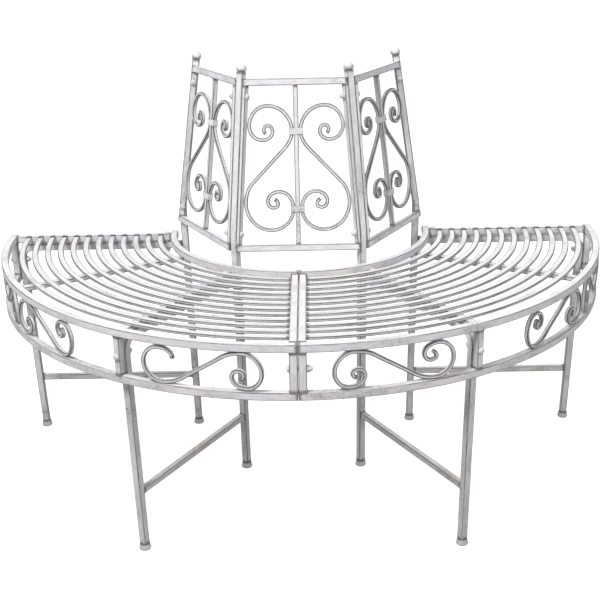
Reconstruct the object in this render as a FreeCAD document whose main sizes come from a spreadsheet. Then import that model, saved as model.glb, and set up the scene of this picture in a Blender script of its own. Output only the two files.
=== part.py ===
import FreeCAD, Part
import math
import os

import Sketcher

# Half-ring tree bench. The origin is on the ground at the middle of the tree, +Z is up, the open
# back faces +Y and the seam of the two seat halves lies on -Y. All lengths are millimetres.

Vector = FreeCAD.Vector
Rotation = FreeCAD.Rotation
Placement = FreeCAD.Placement
UP = Vector(0, 0, 1)

# Below these, a length or a turn counts as none
TINY = 1e-6
STRAIGHT = 0.02

# Driving dimensions, kept in the sheet under these names
DIMENSIONS = {
    "seat_height": 446,
    "inner_rail_rise": 4,
    "seat_radius": 612,
    "trunk_radius": 257,
    "tube": 14,
    "tube_wall": 1.5,
    "tube_corner": 2,
    "apron_gap": 70.7,
    "seam_gap": 0.6,
    "slat_width": 12,
    "slat_thickness": 5,
    "slat_corner": 1.4,
    "first_slat": 22,
    "slat_pitch": 25.3,
    "slat_drop": 1,
    "strap_width": 16,
    "strap_thickness": 8,
    "strap_corner": 1,
    "leg_upright_width": 12,
    "scroll_width": 7,
    "scroll_depth": 8,
    "scroll_corner": 1.2,
    "apron_scroll_inset": 2.9,
    "spacer_height": 3,
    "foot_height": 12,
    "foot_radius": 11,
    "foot_edge": 3,
    "front_foot_reach": 579.3,
    "front_knee_reach": 590.9,
    "front_knee_bend": 23,
    "rear_foot_reach": 236.2,
    "rear_bend_reach": 243,
    "rear_bend_height": 505,
    "rear_bend": 90,
    "post_top_reach": 198.7,
    "post_top_height": 809,
    "brace": 12,
    "brace_wall": 1.2,
    "brace_height": 119.7,
    "finial_radius": 9.6,
    "finial_rise": 6,
    "panel_offset": 3.5,
    "panel_foot_height": 487.2,
    "panel_opening": 299.4,
    "panel_rail": 12.5,
    "panel_stile": 7,
    "panel_depth": 12,
    "panel_corner": 1,
    "panel_bar": 9,
    "collar_height": 12,
    "collar_wall": 1.2,
    "collar_slack": 0.6,
    "upper_collar_height": 215,
    "lower_collar_height": 68.9,
    "shank_radius": 3,
    "head_radius": 6,
    "head_height": 4.6,
    "nut_radius": 5.6,
    "nut_height": 10,
    "nut_bore": 7,
    "seat_bolt_reach": 280.5,
    "leg_bolt_height": 395,
    "seam_bolt_height": 402,
    "upper_panel_bolt": 764,
    "lower_panel_bolt": 508,
}

SLATS = 12

# Spaces left where a bar's end meets another piece, and where pieces lean on each other
END_GAP = 0.3
SIDE_GAP = 0.2

# Lengths of the cuts: through the whole bench, and through one bar
CUT_ALL = 4000
CUT_BAR = 100

FRAME_ANGLES = {"left_end": 180, "left_front": 240, "right_front": 300, "right_end": 360}
PANEL_ANGLES = {"left": -60, "center": 0, "right": 60}
SIDES = {"left": -1, "right": 1}

document = FreeCAD.newDocument("tree_bench")
sheet = document.addObject("Spreadsheet::Sheet", "Sizes")
for row, (alias, number) in enumerate(DIMENSIONS.items(), start=1):
    sheet.set(f"A{row}", alias)
    sheet.set(f"B{row}", str(number))
    sheet.setAlias(f"B{row}", alias)
document.recompute()


class Size:
    """A number together with the sheet expression that gives it."""

    def __init__(self, value, text=None):
        self.value = float(value)
        self.text = text or repr(self.value)

    def __add__(self, other):
        other = as_size(other)
        return Size(self.value + other.value, f"({self.text} + {other.text})")

    def __sub__(self, other):
        other = as_size(other)
        return Size(self.value - other.value, f"({self.text} - {other.text})")

    def __mul__(self, factor):
        factor = as_size(factor)
        return Size(self.value * factor.value, f"({self.text} * {factor.text})")

    def __neg__(self):
        return Size(-self.value, f"(0 - {self.text})")

    def __float__(self):
        return self.value


def as_size(item):
    return item if isinstance(item, Size) else Size(item)


def size(alias):
    return Size(sheet.get(alias), f"Sizes.{alias}")


# Sizes that several pieces share
tube = size("tube")
half_tube = tube * 0.5
tube_wall = size("tube_wall")
seat_top = size("seat_height")
tube_low = seat_top - tube
outer_inside = size("seat_radius") - tube
inner_outside = size("trunk_radius") + tube
apron_top = tube_low - size("apron_gap")
strap_low = tube_low
strap_top = strap_low + size("strap_thickness")
upper_brace_top = tube_low - size("spacer_height")
upper_brace_height = upper_brace_top - half_tube
half_seam = size("seam_gap") * 0.5
post_slope = (float(size("rear_bend_reach")) - float(size("post_top_reach"))) / (
    float(size("post_top_height")) - float(size("rear_bend_height"))
)
post_rake = math.atan(post_slope)
panel_rake = math.atan(post_slope * math.cos(math.radians(30)))


def new_body(label):
    """A piece with its own label, which may hold several separate solids."""
    body = document.addObject("PartDesign::Body", label)
    body.Label = label
    body.AllowCompound = True
    return body


def origin_plane(body, role):
    return next(item for item in body.Origin.OriginFeatures if item.Role == role)


def turned_about_z(angle):
    return Placement(Vector(), Rotation(Vector(0, 0, 1), angle))


def upright_plane(angle, reach):
    """A vertical plane at a distance from the tree, facing outwards, with its own X level."""
    turn = math.radians(angle)
    outwards = Vector(math.cos(turn), math.sin(turn), 0)
    level = Vector(-math.sin(turn), math.cos(turn), 0)
    return Placement(outwards * float(reach), Rotation(level, Vector(0, 0, 1), outwards, "ZXY"))


def axis_place(point, along, side):
    """A place whose own X runs along an axis and whose own Y points to one side of it."""
    along = Vector(along).normalize()
    across = Vector(side) - along * along.dot(Vector(side))
    across.normalize()
    return Placement(point, Rotation(along, across, along.cross(across), "XYZ"))


BORE_CORNER = 0.4


class Drawing:
    """One sketch of a body. Its lines, arcs and constraints are gathered and added together."""

    def __init__(self, body, name, role="XY_Plane", place=None, height=None):
        self.sketch = body.newObject("Sketcher::SketchObject", name)
        self.sketch.AttachmentSupport = [(origin_plane(body, role), "")]
        self.sketch.MapMode = "FlatFace"
        if place is not None:
            self.sketch.AttachmentOffset = place
        if height is not None:
            self.sketch.setExpression("AttachmentOffset.Base.z", height.text)
        self.shapes = []
        self.helpers = []
        self.rules = []
        self.sizes = []

    def add(self, shape, helper=False):
        self.shapes.append(shape)
        self.helpers.append(helper)
        return len(self.shapes) - 1

    def rule(self, kind, *items):
        self.rules.append(Sketcher.Constraint(kind, *items))

    def bind(self, kind, items, amount):
        """A measured constraint that follows the sheet."""
        self.sizes.append((len(self.rules), amount.text))
        self.rules.append(Sketcher.Constraint(kind, *items, amount.value))

    def pin(self, element, point, across=None, up=None):
        """Hold a point at its distances from the sketch's origin, whichever side it lies on."""
        for kind, axis, amount in (("DistanceX", -2, across), ("DistanceY", -1, up)):
            if amount is None:
                continue
            amount = as_size(amount)
            if abs(amount.value) < TINY:
                self.rule("PointOnObject", element, point, axis)
            elif amount.value > 0:
                self.bind(kind, (-1, 1, element, point), amount)
            else:
                self.bind(kind, (element, point, -1, 1), -amount)

    def finish(self):
        for shape, helper in zip(self.shapes, self.helpers):
            self.sketch.addGeometry(shape, helper)
        self.sketch.addConstraint(self.rules)
        for index, text in self.sizes:
            self.sketch.setExpression(f"Constraints[{index}]", text)
        return self.sketch

    def rounded_rectangle(self, left, low, width, height, corner):
        """A rectangle with four equal round corners, placed by its left and low edges."""
        left, low, width, height, corner = map(as_size, (left, low, width, height, corner))
        x0, y0, r = left.value, low.value, corner.value
        x1, y1 = x0 + width.value, y0 + height.value
        lines = (
            ((x0 + r, y0), (x1 - r, y0)),
            ((x1, y0 + r), (x1, y1 - r)),
            ((x1 - r, y1), (x0 + r, y1)),
            ((x0, y1 - r), (x0, y0 + r)),
        )
        centres = ((x1 - r, y0 + r), (x1 - r, y1 - r), (x0 + r, y1 - r), (x0 + r, y0 + r))
        first = len(self.shapes)
        for quarter, ((start, end), centre) in enumerate(zip(lines, centres)):
            turn = math.radians(90 * (quarter - 1))
            circle = Part.Circle(Vector(*centre, 0), Vector(0, 0, 1), r)
            self.add(Part.LineSegment(Vector(*start, 0), Vector(*end, 0)))
            self.add(Part.ArcOfCircle(circle, turn, turn + math.radians(90)))
        for step in range(0, 8, 2):
            line, arc, following = first + step, first + step + 1, first + (step + 2) % 8
            self.rule("Tangent", line, 2, arc, 1)
            self.rule("Tangent", arc, 2, following, 1)
            self.rule("Horizontal" if step % 4 == 0 else "Vertical", line)
            if step:
                self.rule("Equal", first + 1, arc)
        self.bind("Radius", (first + 1,), corner)
        self.bind("DistanceX", (first + 6, 1, first + 2, 1), width)
        self.bind("DistanceY", (first, 1, first + 4, 1), height)
        self.pin(first + 6, 1, across=left)
        self.pin(first, 1, up=low)

    def tube_section(self, left, low, width, height, wall):
        """A tube's section, with its bore's corners rounded a little."""
        corner = size("tube_corner")
        self.rounded_rectangle(left, low, width, height, corner)
        self.rounded_rectangle(left + wall, low + wall, width - wall * 2, height - wall * 2, corner * BORE_CORNER)

    def outline(self, points):
        """A closed outline of straight edges through points given across and up."""
        count = len(points)
        first = len(self.shapes)
        for index, point in enumerate(points):
            following = points[(index + 1) % count]
            start = Vector(float(point[0]), float(point[1]), 0)
            end = Vector(float(following[0]), float(following[1]), 0)
            self.add(Part.LineSegment(start, end))
        for index, point in enumerate(points):
            self.rule("Coincident", first + index, 2, first + (index + 1) % count, 1)
            self.pin(first + index, 1, across=point[0], up=point[1])

    def circle(self, across, up, radius):
        index = self.add(Part.Circle(Vector(float(across), float(up), 0), Vector(0, 0, 1), float(radius)))
        self.bind("Radius", (index,), as_size(radius))
        if float(across) == 0 and float(up) == 0:
            self.rule("Coincident", index, 3, -1, 1)
        else:
            self.pin(index, 3, across=across, up=up)

    def bent_line(self, start, corner, end, radius):
        """Two straight runs joined by a tangent arc at a corner that both runs point to."""
        a, b, c = (Vector(float(point[0]), float(point[1]), 0) for point in (start, corner, end))
        into = (b - a).normalize()
        out = (c - b).normalize()
        turn = math.acos(into.dot(out))
        back = float(radius) * math.tan(turn / 2)
        arc_start, arc_end = b - into * back, b + out * back
        sagitta = (out - into).normalize() * (float(radius) / math.cos(turn / 2) - float(radius))
        first = self.add(Part.LineSegment(a, arc_start))
        arc = self.add(Part.Arc(arc_start, b + sagitta, arc_end))
        last = self.add(Part.LineSegment(arc_end, c))
        aim = self.add(Part.Point(b), helper=True)
        left_turn = into.cross(out).z > 0
        arc_first, arc_last = (1, 2) if left_turn else (2, 1)
        self.rule("Tangent", first, 2, arc, arc_first)
        self.rule("Tangent", arc, arc_last, last, 1)
        self.bind("Radius", (arc,), as_size(radius))
        self.pin(first, 1, across=start[0], up=start[1])
        self.pin(last, 2, across=end[0], up=end[1])
        self.pin(aim, 1, across=corner[0], up=corner[1])
        self.rule("PointOnObject", aim, 1, first)
        self.rule("PointOnObject", aim, 1, last)

    def flowing_line(self, marks):
        """A smooth run of arcs and straights through marks: across, up and heading in degrees."""
        for (x0, y0, h0), (x1, y1, h1) in zip(marks, marks[1:]):
            start, end = Vector(x0, y0, 0), Vector(x1, y1, 0)
            into = Vector(math.cos(math.radians(h0)), math.sin(math.radians(h0)), 0)
            out = Vector(math.cos(math.radians(h1)), math.sin(math.radians(h1)), 0)
            chord = end - start
            if max(chord.getAngle(into), chord.getAngle(out)) < STRAIGHT:
                self.add(Part.LineSegment(start, end))
                continue
            openness = 2 * (1 - into.dot(out))
            reach = 2 * chord.dot(into + out)
            if openness < TINY:
                handle = chord.dot(chord) / reach
            else:
                root = math.sqrt(reach * reach + 4 * openness * chord.dot(chord))
                handle = (root - reach) / (2 * openness)
            middle = (start + into * handle + end - out * handle) * 0.5
            self.tangent_arc(start, into, middle)
            self.tangent_arc(end, -out, middle)

    def tangent_arc(self, start, direction, end):
        """The arc that leaves start along direction and reaches end."""
        chord = end - start
        angle = chord.getAngle(direction)
        along = Vector(chord).normalize()
        side = (direction - along * along.dot(direction)).normalize()
        top = (start + end) * 0.5 + side * (chord.Length / 2 * math.tan(angle / 2))
        self.add(Part.Arc(start, top, end))

    def turned_outline(self, points, arc_start):
        """A closed half section on the X axis. The edge after arc_start is round: a dome where it
        comes down to the axis, and otherwise a quarter circle."""
        count = len(points)
        for index, point in enumerate(points):
            following = points[(index + 1) % count]
            start, end = Vector(*point, 0), Vector(*following, 0)
            if index != arc_start:
                self.add(Part.LineSegment(start, end))
                continue
            reach = end.x - start.x
            middle = Vector(start.x, end.y, 0)
            if end.y == 0:
                middle.x += (reach * reach - start.y * start.y) / (2 * reach)
            swing = math.atan2(start.y - middle.y, start.x - middle.x) / 2
            top = Vector(math.cos(swing), math.sin(swing), 0) * (start - middle).Length + middle
            self.add(Part.Arc(start, top, end))


def pad(body, sketch, name, length, symmetric=False):
    feature = body.newObject("PartDesign::Pad", name)
    feature.Profile = sketch
    feature.SideType = "Symmetric" if symmetric else "One side"
    feature.Length = float(length)
    feature.setExpression("Length", as_size(length).text)
    return feature


def cut_through(body, sketch, name, length=CUT_ALL):
    """Cut both ways from the sketch, and make sure that the cut took something away."""
    document.recompute()
    before = body.Shape.Volume
    feature = body.newObject("PartDesign::Pocket", name)
    feature.Profile = sketch
    feature.SideType = "Symmetric"
    feature.Type = "Length"
    feature.Length = length
    document.recompute()
    if body.Shape.Volume > before - TINY:
        raise RuntimeError(f"{name} of {body.Label} cuts nothing")
    return feature


def revolve(body, sketch, name, axis, angle=360):
    feature = body.newObject("PartDesign::Revolution", name)
    feature.Profile = sketch
    feature.ReferenceAxis = (sketch, [axis])
    feature.Midplane = True
    feature.Angle = angle


def sweep(body, section, path, name):
    feature = body.newObject("PartDesign::AdditivePipe", name)
    feature.Profile = section
    feature.Spine = (path, [])


def drill(body, name, across, up, length=CUT_BAR, role="XY_Plane", place=None):
    """A bolt hole along the normal of a plane."""
    drawing = Drawing(body, name + "_sketch", role, place)
    drawing.circle(across, up, size("shank_radius"))
    cut_through(body, drawing.finish(), name, length)


# Seat and apron rails, bent to the ring

SWEEP_ANGLE = 100
TRIM_REACH = 900


def half_middle(side):
    """The middle angle of the left or right seat half."""
    return -90 + 45 * side


def ring_sweep(body, name, sections, side):
    """Turn upright sections through more than a quarter ring about the tree."""
    place = Placement(Vector(), Rotation(Vector(0, 1, 0), half_middle(side)))
    drawing = Drawing(body, name + "_section", "XZ_Plane", place)
    for section in sections:
        section(drawing)
    revolve(body, drawing.finish(), name, "V_Axis", SWEEP_ANGLE)


def trim_quarter(body, side, seam, end):
    """Cut a swept piece straight at the seam and at the open end of its half."""
    reach = TRIM_REACH
    drawing = Drawing(body, "trim_sketch")
    seam = as_size(seam) * side
    drawing.outline((
        (seam, -reach),
        (seam, end),
        (reach * side, end),
        (reach * side, reach),
        (-reach * side, reach),
        (-reach * side, -reach),
    ))
    cut_through(body, drawing.finish(), "trim")


def make_rail(label, side, inside, low):
    """A square tube bent to a quarter ring."""
    body = new_body(label)
    ring_sweep(body, "rail", [lambda drawing: drawing.tube_section(inside, low, tube, tube, tube_wall)], side)
    trim_quarter(body, side, half_seam, half_tube)


def make_slats(label, side):
    """Curved flat slats, evenly spaced between the two rails."""
    body = new_body(label)
    low = seat_top - size("slat_drop") - size("slat_thickness")

    def slat(number):
        middle = inner_outside + size("first_slat") + size("slat_pitch") * number
        inside = middle - size("slat_width") * 0.5
        return lambda drawing: drawing.rounded_rectangle(
            inside, low, size("slat_width"), size("slat_thickness"), size("slat_corner"))

    ring_sweep(body, "slats", [slat(number) for number in range(SLATS)], side)
    trim_quarter(body, side, half_seam + tube, -half_tube)


# Straight bars between the rails

BAR_MARGIN = 20


def trim_to_rails(body):
    """Cut the ends of radial bars to the curves of the two rails."""
    drawing = Drawing(body, "rail_trim_sketch")
    drawing.circle(0, 0, inner_outside)
    drawing.circle(0, 0, outer_inside)
    drawing.circle(0, 0, TRIM_REACH)
    cut_through(body, drawing.finish(), "rail_trim")


def radial_bar(body, name, angle, section):
    """A bar that runs outwards from the inner rail to the outer rail."""
    start = inner_outside - BAR_MARGIN
    drawing = Drawing(body, name + "_section", "XY_Plane", upright_plane(angle, start))
    section(drawing)
    pad(body, drawing.finish(), name, outer_inside - inner_outside + 2 * BAR_MARGIN)


def make_seam_bar(label, side):
    body = new_body(label)
    left = half_seam if side > 0 else -half_seam - tube
    radial_bar(body, "bar", 270, lambda drawing: drawing.tube_section(left, tube_low, tube, tube, tube_wall))
    trim_to_rails(body)


def make_end_bar(label, side):
    body = new_body(label)
    body.Placement = turned_about_z(0 if side > 0 else 180)
    radial_bar(body, "bar", 0, lambda drawing: drawing.tube_section(-half_tube, tube_low, tube, tube, tube_wall))
    trim_to_rails(body)
    drill(body, "seat_bolt_hole", size("seat_bolt_reach"), 0, CUT_ALL)


def make_straps(label, side):
    """Two flat cross straps under the slats, at thirds of the half."""
    body = new_body(label)
    for third in (1, 2):
        angle = 270 + side * 30 * third
        radial_bar(body, f"strap_{third}", angle, lambda drawing: drawing.rounded_rectangle(
            size("strap_width") * -0.5, strap_low, size("strap_width"),
            size("strap_thickness"), size("strap_corner")))
    trim_to_rails(body)
    turn = math.radians(270 + side * 30)
    reach = size("seat_bolt_reach")
    drill(body, "seat_bolt_hole", reach * math.cos(turn), reach * math.sin(turn), CUT_ALL)


# The seam uprights are straight, so they stand back by this from the rails' curve
SEAM_SETBACK = 0.2


def make_uprights(label, side):
    """Three short tubes between the outer rail and the apron rail: at seam, leg and end."""
    body = new_body(label)
    gap = size("apron_gap")

    seam = Drawing(body, "seam_section", height=apron_top)
    left = half_seam if side > 0 else -half_seam - tube
    seam.tube_section(left, -size("seat_radius") + SEAM_SETBACK, tube, tube, tube_wall)
    pad(body, seam.finish(), "seam_upright", gap)
    drill(body, "seam_bolt_hole", -size("seat_radius") + half_tube, size("seam_bolt_height"), role="YZ_Plane")

    uprights = (("leg", 270 + side * 30, size("leg_upright_width")), ("end", 270 + side * 90, tube))
    for name, angle, width in uprights:
        drawing = Drawing(body, name + "_section", place=turned_about_z(angle), height=apron_top)
        drawing.tube_section(outer_inside, width * -0.5, tube, width, tube_wall)
        pad(body, drawing.finish(), name + "_upright", gap)
        place = upright_plane(angle, outer_inside)
        drill(body, name + "_bolt_hole", 0, size("leg_bolt_height"), place=place)


# Scrolls, bent from bar

def scroll(body, name, place, marks):
    """A bar bent along marks in the plane of its place."""
    path = Drawing(body, name + "_path", place=place)
    path.flowing_line(marks)
    across, up, heading = marks[0]
    turn = math.radians(heading)
    along = Vector(math.cos(turn), math.sin(turn), 0)
    side = Vector(-math.sin(turn), math.cos(turn), 0)
    start = Placement(Vector(across, up, 0), Rotation(side, Vector(0, 0, 1), along, "ZXY"))
    section = Drawing(body, name + "_section", place=place.multiply(start))
    width, depth = size("scroll_width"), size("scroll_depth")
    section.rounded_rectangle(width * -0.5, depth * -0.5, width, depth, size("scroll_corner"))
    sweep(body, section.finish(), path.finish(), name)


def mirrored_marks(marks):
    """The same run seen in a mirror that swaps left and right."""
    return [(-across, up, 180 - heading) for across, up, heading in marks]


APRON_SCROLL_MIDDLE = float(apron_top) + float(size("apron_gap")) / 2
SCROLL_TOUCH = float(size("apron_gap")) / 2 - float(size("scroll_width")) / 2

# Half of an S, from its middle outwards: across, height over the middle, heading
HALF_APRON_SCROLL = (
    (0, 0, -31),
    (70, -SCROLL_TOUCH, 0),
    (103, 1.5, 90),
    (76, 30, 180),
    (51, 12, 270),
    (62.5, 0, 360),
    (72.5, 6.5, 450),
    (66, 14.5, 525),
)
OPEN_HOOK_MARKS = 5


def apron_marks(hand, stretch=1, open_hook=False):
    """The whole S: a half and the same half turned about the middle, stretched sideways."""
    outward = HALF_APRON_SCROLL[:OPEN_HOOK_MARKS] if open_hook else HALF_APRON_SCROLL
    inward = [(-across, -up, heading) for across, up, heading in reversed(HALF_APRON_SCROLL[1:])]
    marks = [(across * stretch, up + APRON_SCROLL_MIDDLE, heading) for across, up, heading in [*inward, *outward]]
    return marks if hand > 0 else mirrored_marks(marks)


scroll_reach = size("seat_radius") - half_tube - size("apron_scroll_inset")

# Where the scrolls stand, in degrees from the seam, and how much shorter the side ones are
FRONT_SCROLL_ANGLE = 15.2
SIDE_SCROLL_ANGLES = {"front": 49.4, "rear": 69.6}
SIDE_SCROLL_STRETCH = 0.93


def make_front_scroll(label, side):
    """One S between the seam and the front leg. The left one ends in an open hook at the leg."""
    body = new_body(label)
    place = upright_plane(270 + side * FRONT_SCROLL_ANGLE, scroll_reach)
    scroll(body, "scroll", place, apron_marks(side, open_hook=side < 0))


def make_side_scrolls(label, side):
    """Two mirrored S shapes between the front leg and the end leg."""
    body = new_body(label)
    for name, hand in (("front", -1), ("rear", 1)):
        place = upright_plane(270 + side * SIDE_SCROLL_ANGLES[name], scroll_reach)
        scroll(body, name + "_scroll", place, apron_marks(hand * side, SIDE_SCROLL_STRETCH))


# Leg frames, modelled pointing along +X and turned to their places

def front_leg_reach(height):
    """How far from the tree the middle of a front leg stands at a height."""
    lean = (size("front_knee_reach").value - size("front_foot_reach").value) / (
        upper_brace_height.value - size("foot_height").value)
    return size("front_foot_reach").value + (float(height) - size("foot_height").value) * lean


def rear_leg_reach(height):
    """How far from the tree the middle of a rear leg stands at a height under its bend."""
    lean = (size("rear_bend_reach").value - size("rear_foot_reach").value) / (
        size("rear_bend_height").value - size("foot_height").value)
    return size("rear_foot_reach").value + (float(height) - size("foot_height").value) * lean


def make_front_leg(label, angle):
    """A leg that bends at its head into the upper brace under the seat."""
    body = new_body(label)
    foot = (size("front_foot_reach"), size("foot_height"))
    knee = (size("front_knee_reach"), upper_brace_height)
    back = (rear_leg_reach(upper_brace_height) + half_tube.value + END_GAP, upper_brace_height)
    path = Drawing(body, "leg_path", "XZ_Plane")
    path.bent_line(foot, knee, back, size("front_knee_bend"))
    section = Drawing(body, "leg_section", height=size("foot_height"))
    section.tube_section(foot[0] - half_tube, -half_tube, tube, tube, tube_wall)
    sweep(body, section.finish(), path.finish(), "leg")
    drill(body, "seat_bolt_hole", size("seat_bolt_reach"), 0, CUT_ALL)
    drill(body, "leg_bolt_hole", 0, size("leg_bolt_height"), place=upright_plane(0, outer_inside))
    body.Placement = turned_about_z(angle)


def post_reach(height):
    """How far from the tree the raked part of a post stands at a height."""
    return size("rear_bend_reach").value - (float(height) - size("rear_bend_height").value) * post_slope


PANEL_BOLTS = ("upper_panel_bolt", "lower_panel_bolt")


def make_back_post(label, angle):
    """A rear leg and back post in one tube, which leans back over the seat."""
    body = new_body(label)
    foot = (size("rear_foot_reach"), size("foot_height"))
    bend = (size("rear_bend_reach"), size("rear_bend_height"))
    head = (size("post_top_reach"), size("post_top_height"))
    path = Drawing(body, "post_path", "XZ_Plane")
    path.bent_line(foot, bend, head, size("rear_bend"))
    section = Drawing(body, "post_section", height=size("foot_height"))
    section.tube_section(foot[0] - half_tube, -half_tube, tube, tube, tube_wall)
    sweep(body, section.finish(), path.finish(), "post")
    for name in PANEL_BOLTS:
        height = size(name)
        drill(body, name + "_hole", post_reach(height), height, role="XZ_Plane")
    body.Placement = turned_about_z(angle)


def make_lower_brace(label, angle):
    """A level tube between the front and the rear leg."""
    body = new_body(label)
    height, width = size("brace_height"), size("brace")
    start = rear_leg_reach(height) + half_tube.value + END_GAP
    end = front_leg_reach(height) - half_tube.value - END_GAP
    drawing = Drawing(body, "brace_section", place=upright_plane(0, start))
    drawing.tube_section(width * -0.5, height - width * 0.5, width, width, size("brace_wall"))
    pad(body, drawing.finish(), "brace", end - start)
    body.Placement = turned_about_z(angle)


def turned_piece(body, name, place, points, arc_start):
    """A round piece turned about the X axis of its place."""
    drawing = Drawing(body, name + "_section", place=place)
    drawing.turned_outline(points, arc_start)
    revolve(body, drawing.finish(), name, "H_Axis")


def outward_point(angle, reach, height):
    turn = math.radians(angle)
    return Vector(math.cos(turn) * float(reach), math.sin(turn) * float(reach), float(height))


def outwards_at(angle):
    return outward_point(angle, 1, 0)


# A foot cap's radius at its top and at its waist, and its waist's depth, as shares of the whole
FOOT_NECK = 0.84
FOOT_WAIST = 0.9
FOOT_WAIST_DEPTH = 0.4


def make_foot_caps(label):
    """Round flared caps under the eight feet, with a rounded lower edge."""
    body = new_body(label)
    height, radius, edge = (float(size(name)) for name in ("foot_height", "foot_radius", "foot_edge"))
    for name, angle in FRAME_ANGLES.items():
        for leg, reach in (("front", size("front_foot_reach")), ("rear", size("rear_foot_reach"))):
            place = axis_place(outward_point(angle, reach, height), -UP, Vector(1, 0, 0))
            points = (
                (0, 0),
                (0, radius * FOOT_NECK),
                (height * FOOT_WAIST_DEPTH, radius * FOOT_WAIST),
                (height - edge, radius),
                (height, radius - edge),
                (height, 0),
            )
            turned_piece(body, f"{name}_{leg}_cap", place, points, arc_start=3)


def make_post_finials(label):
    """Balls on the ends of the posts, in line with their rake."""
    body = new_body(label)
    radius, rise = float(size("finial_radius")), float(size("finial_rise"))
    seat_radius = math.sqrt(radius * radius - rise * rise)
    for name, angle in FRAME_ANGLES.items():
        inwards = -outwards_at(angle)
        along = inwards * math.sin(post_rake) + UP * math.cos(post_rake)
        point = outward_point(angle, size("post_top_reach"), size("post_top_height"))
        points = ((SIDE_GAP, 0), (SIDE_GAP, seat_radius), (radius + rise, 0))
        turned_piece(body, name + "_finial", axis_place(point, along, inwards), points, arc_start=1)


# Back panels, drawn in their own plane: X across, Y up the panel, Z outwards

CHORD = math.cos(math.radians(30))


def panel_place(angle):
    """The place of a panel's plane in front of the chord between two posts."""
    bend_reach = float(size("rear_bend_reach")) * CHORD
    below_bend = float(size("rear_bend_height")) - float(size("panel_foot_height"))
    reach = bend_reach + below_bend * math.tan(panel_rake)
    reach += float(size("panel_offset")) / math.cos(panel_rake)
    tilt = Rotation(Vector(1, 0, 0), 90 - math.degrees(panel_rake))
    upright = Placement(Vector(0, -reach, float(size("panel_foot_height"))), tilt)
    return turned_about_z(angle).multiply(upright)


opening = size("panel_opening")
stile_start = half_tube.value + SIDE_GAP
stile_end = stile_start + size("panel_stile").value
half_depth = size("panel_depth").value / 2


def beside_post(across, out, height):
    """A point beside the centre panel's right post, at a height in the panel. It lies across from
    the post's middle line towards the panel, and out from it away from the tree."""
    angle = FRAME_ANGLES["right_front"]
    outwards = outwards_at(angle)
    along = UP * math.cos(post_rake) - outwards * math.sin(post_rake)
    beyond = outwards * math.cos(post_rake) + UP * math.sin(post_rake)
    bend = outward_point(angle, size("rear_bend_reach"), size("rear_bend_height"))
    into_panel = panel_place(0).inverse()
    point = into_panel.multVec(bend + outwards.cross(UP) * across + beyond * out)
    heading = into_panel.Rotation.multVec(along)
    return point + heading * ((height - point.y) / heading.y)


def round_edges(body, feature):
    document.recompute()
    rounding = body.newObject("PartDesign::Fillet", "rounding")
    rounding.Base = (feature, ["Edge1"])
    rounding.UseAllEdges = True
    rounding.setExpression("Radius", size("panel_corner").text)
    document.recompute()


RAIL_REACH = 140
POST_CLEAR = (100, 400)


def make_panel_rail(label, angle, low):
    """A level bar of a panel, with its ends cut along the sides of the posts."""
    body = new_body(label)
    drawing = Drawing(body, "outline")
    high = low + size("panel_rail")
    drawing.outline(((-RAIL_REACH, low), (RAIL_REACH, low), (RAIL_REACH, high), (-RAIL_REACH, high)))
    pad(body, drawing.finish(), "bar", size("panel_depth"), symmetric=True)
    ends = Drawing(body, "ends_outline", place=panel_place(0).inverse())
    outwards = outwards_at(FRAME_ANGLES["right_front"])
    sideways = outwards.cross(UP)
    for side in SIDES.values():
        corners = [sideways * across + outwards * out for across, out in (
            (half_tube.value + END_GAP, POST_CLEAR[0]),
            (half_tube.value + END_GAP, POST_CLEAR[1]),
            (-RAIL_REACH, POST_CLEAR[1]),
            (-RAIL_REACH, POST_CLEAR[0]),
        )]
        ends.outline([(corner.x * side, corner.y) for corner in corners])
    round_edges(body, cut_through(body, ends.finish(), "ends"))
    body.Placement = panel_place(angle)


def make_stile(label, angle, side):
    """A flat bar that lies along the side of a post, with the holes for its two bolts."""
    body = new_body(label)
    corners = (
        (stile_start, -half_depth),
        (stile_start, half_depth),
        (stile_end, half_depth),
        (stile_end, -half_depth),
    )
    feet = [beside_post(across, out, 0) for across, out in corners]
    heading = beside_post(*corners[0], 1) - feet[0]
    drawing = Drawing(body, "section", "XZ_Plane")
    drawing.outline([(foot.x * side, foot.z) for foot in feet])
    bar = pad(body, drawing.finish(), "bar", opening)
    bar.UseCustomVector = True
    bar.Direction = Vector(heading.x * side, heading.y, heading.z)
    bar.AlongSketchNormal = True
    round_edges(body, bar)
    place = panel_place(angle)
    for name in PANEL_BOLTS:
        hole = place.inverse().multiply(bolt_place(angle + side * 30 - 90, name))
        drill(body, name + "_hole", 0, 0, place=hole.multiply(ACROSS_AXIS))
    body.Placement = place


ACROSS_AXIS = Placement(Vector(), Rotation(Vector(0, 1, 0), 90))


def bolt_place(angle, name):
    """The middle of a panel bolt in its post, with its own X along the bolt."""
    turn = math.radians(angle)
    point = outward_point(angle, post_reach(size(name)), size(name))
    return axis_place(point, Vector(-math.sin(turn), math.cos(turn), 0), UP)


def make_centre_bar(label, angle):
    body = new_body(label)
    width = size("panel_bar")
    drawing = Drawing(body, "section", "XZ_Plane")
    drawing.rounded_rectangle(width * -0.5, width * -0.5, width, width, size("panel_corner"))
    bar = pad(body, drawing.finish(), "bar", opening)
    bar.Reversed = True
    body.Placement = panel_place(angle)


upper_collar = float(size("upper_collar_height"))
lower_collar = float(size("lower_collar_height"))
tail = float(size("panel_bar")) / 2 + float(size("scroll_width")) / 2


def touch_stile(height):
    """Where a scroll's middle line runs when the scroll leans on the stile's inner edge."""
    return beside_post(stile_end, -half_depth, height).x - float(size("scroll_width")) / 2 - SIDE_GAP


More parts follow.
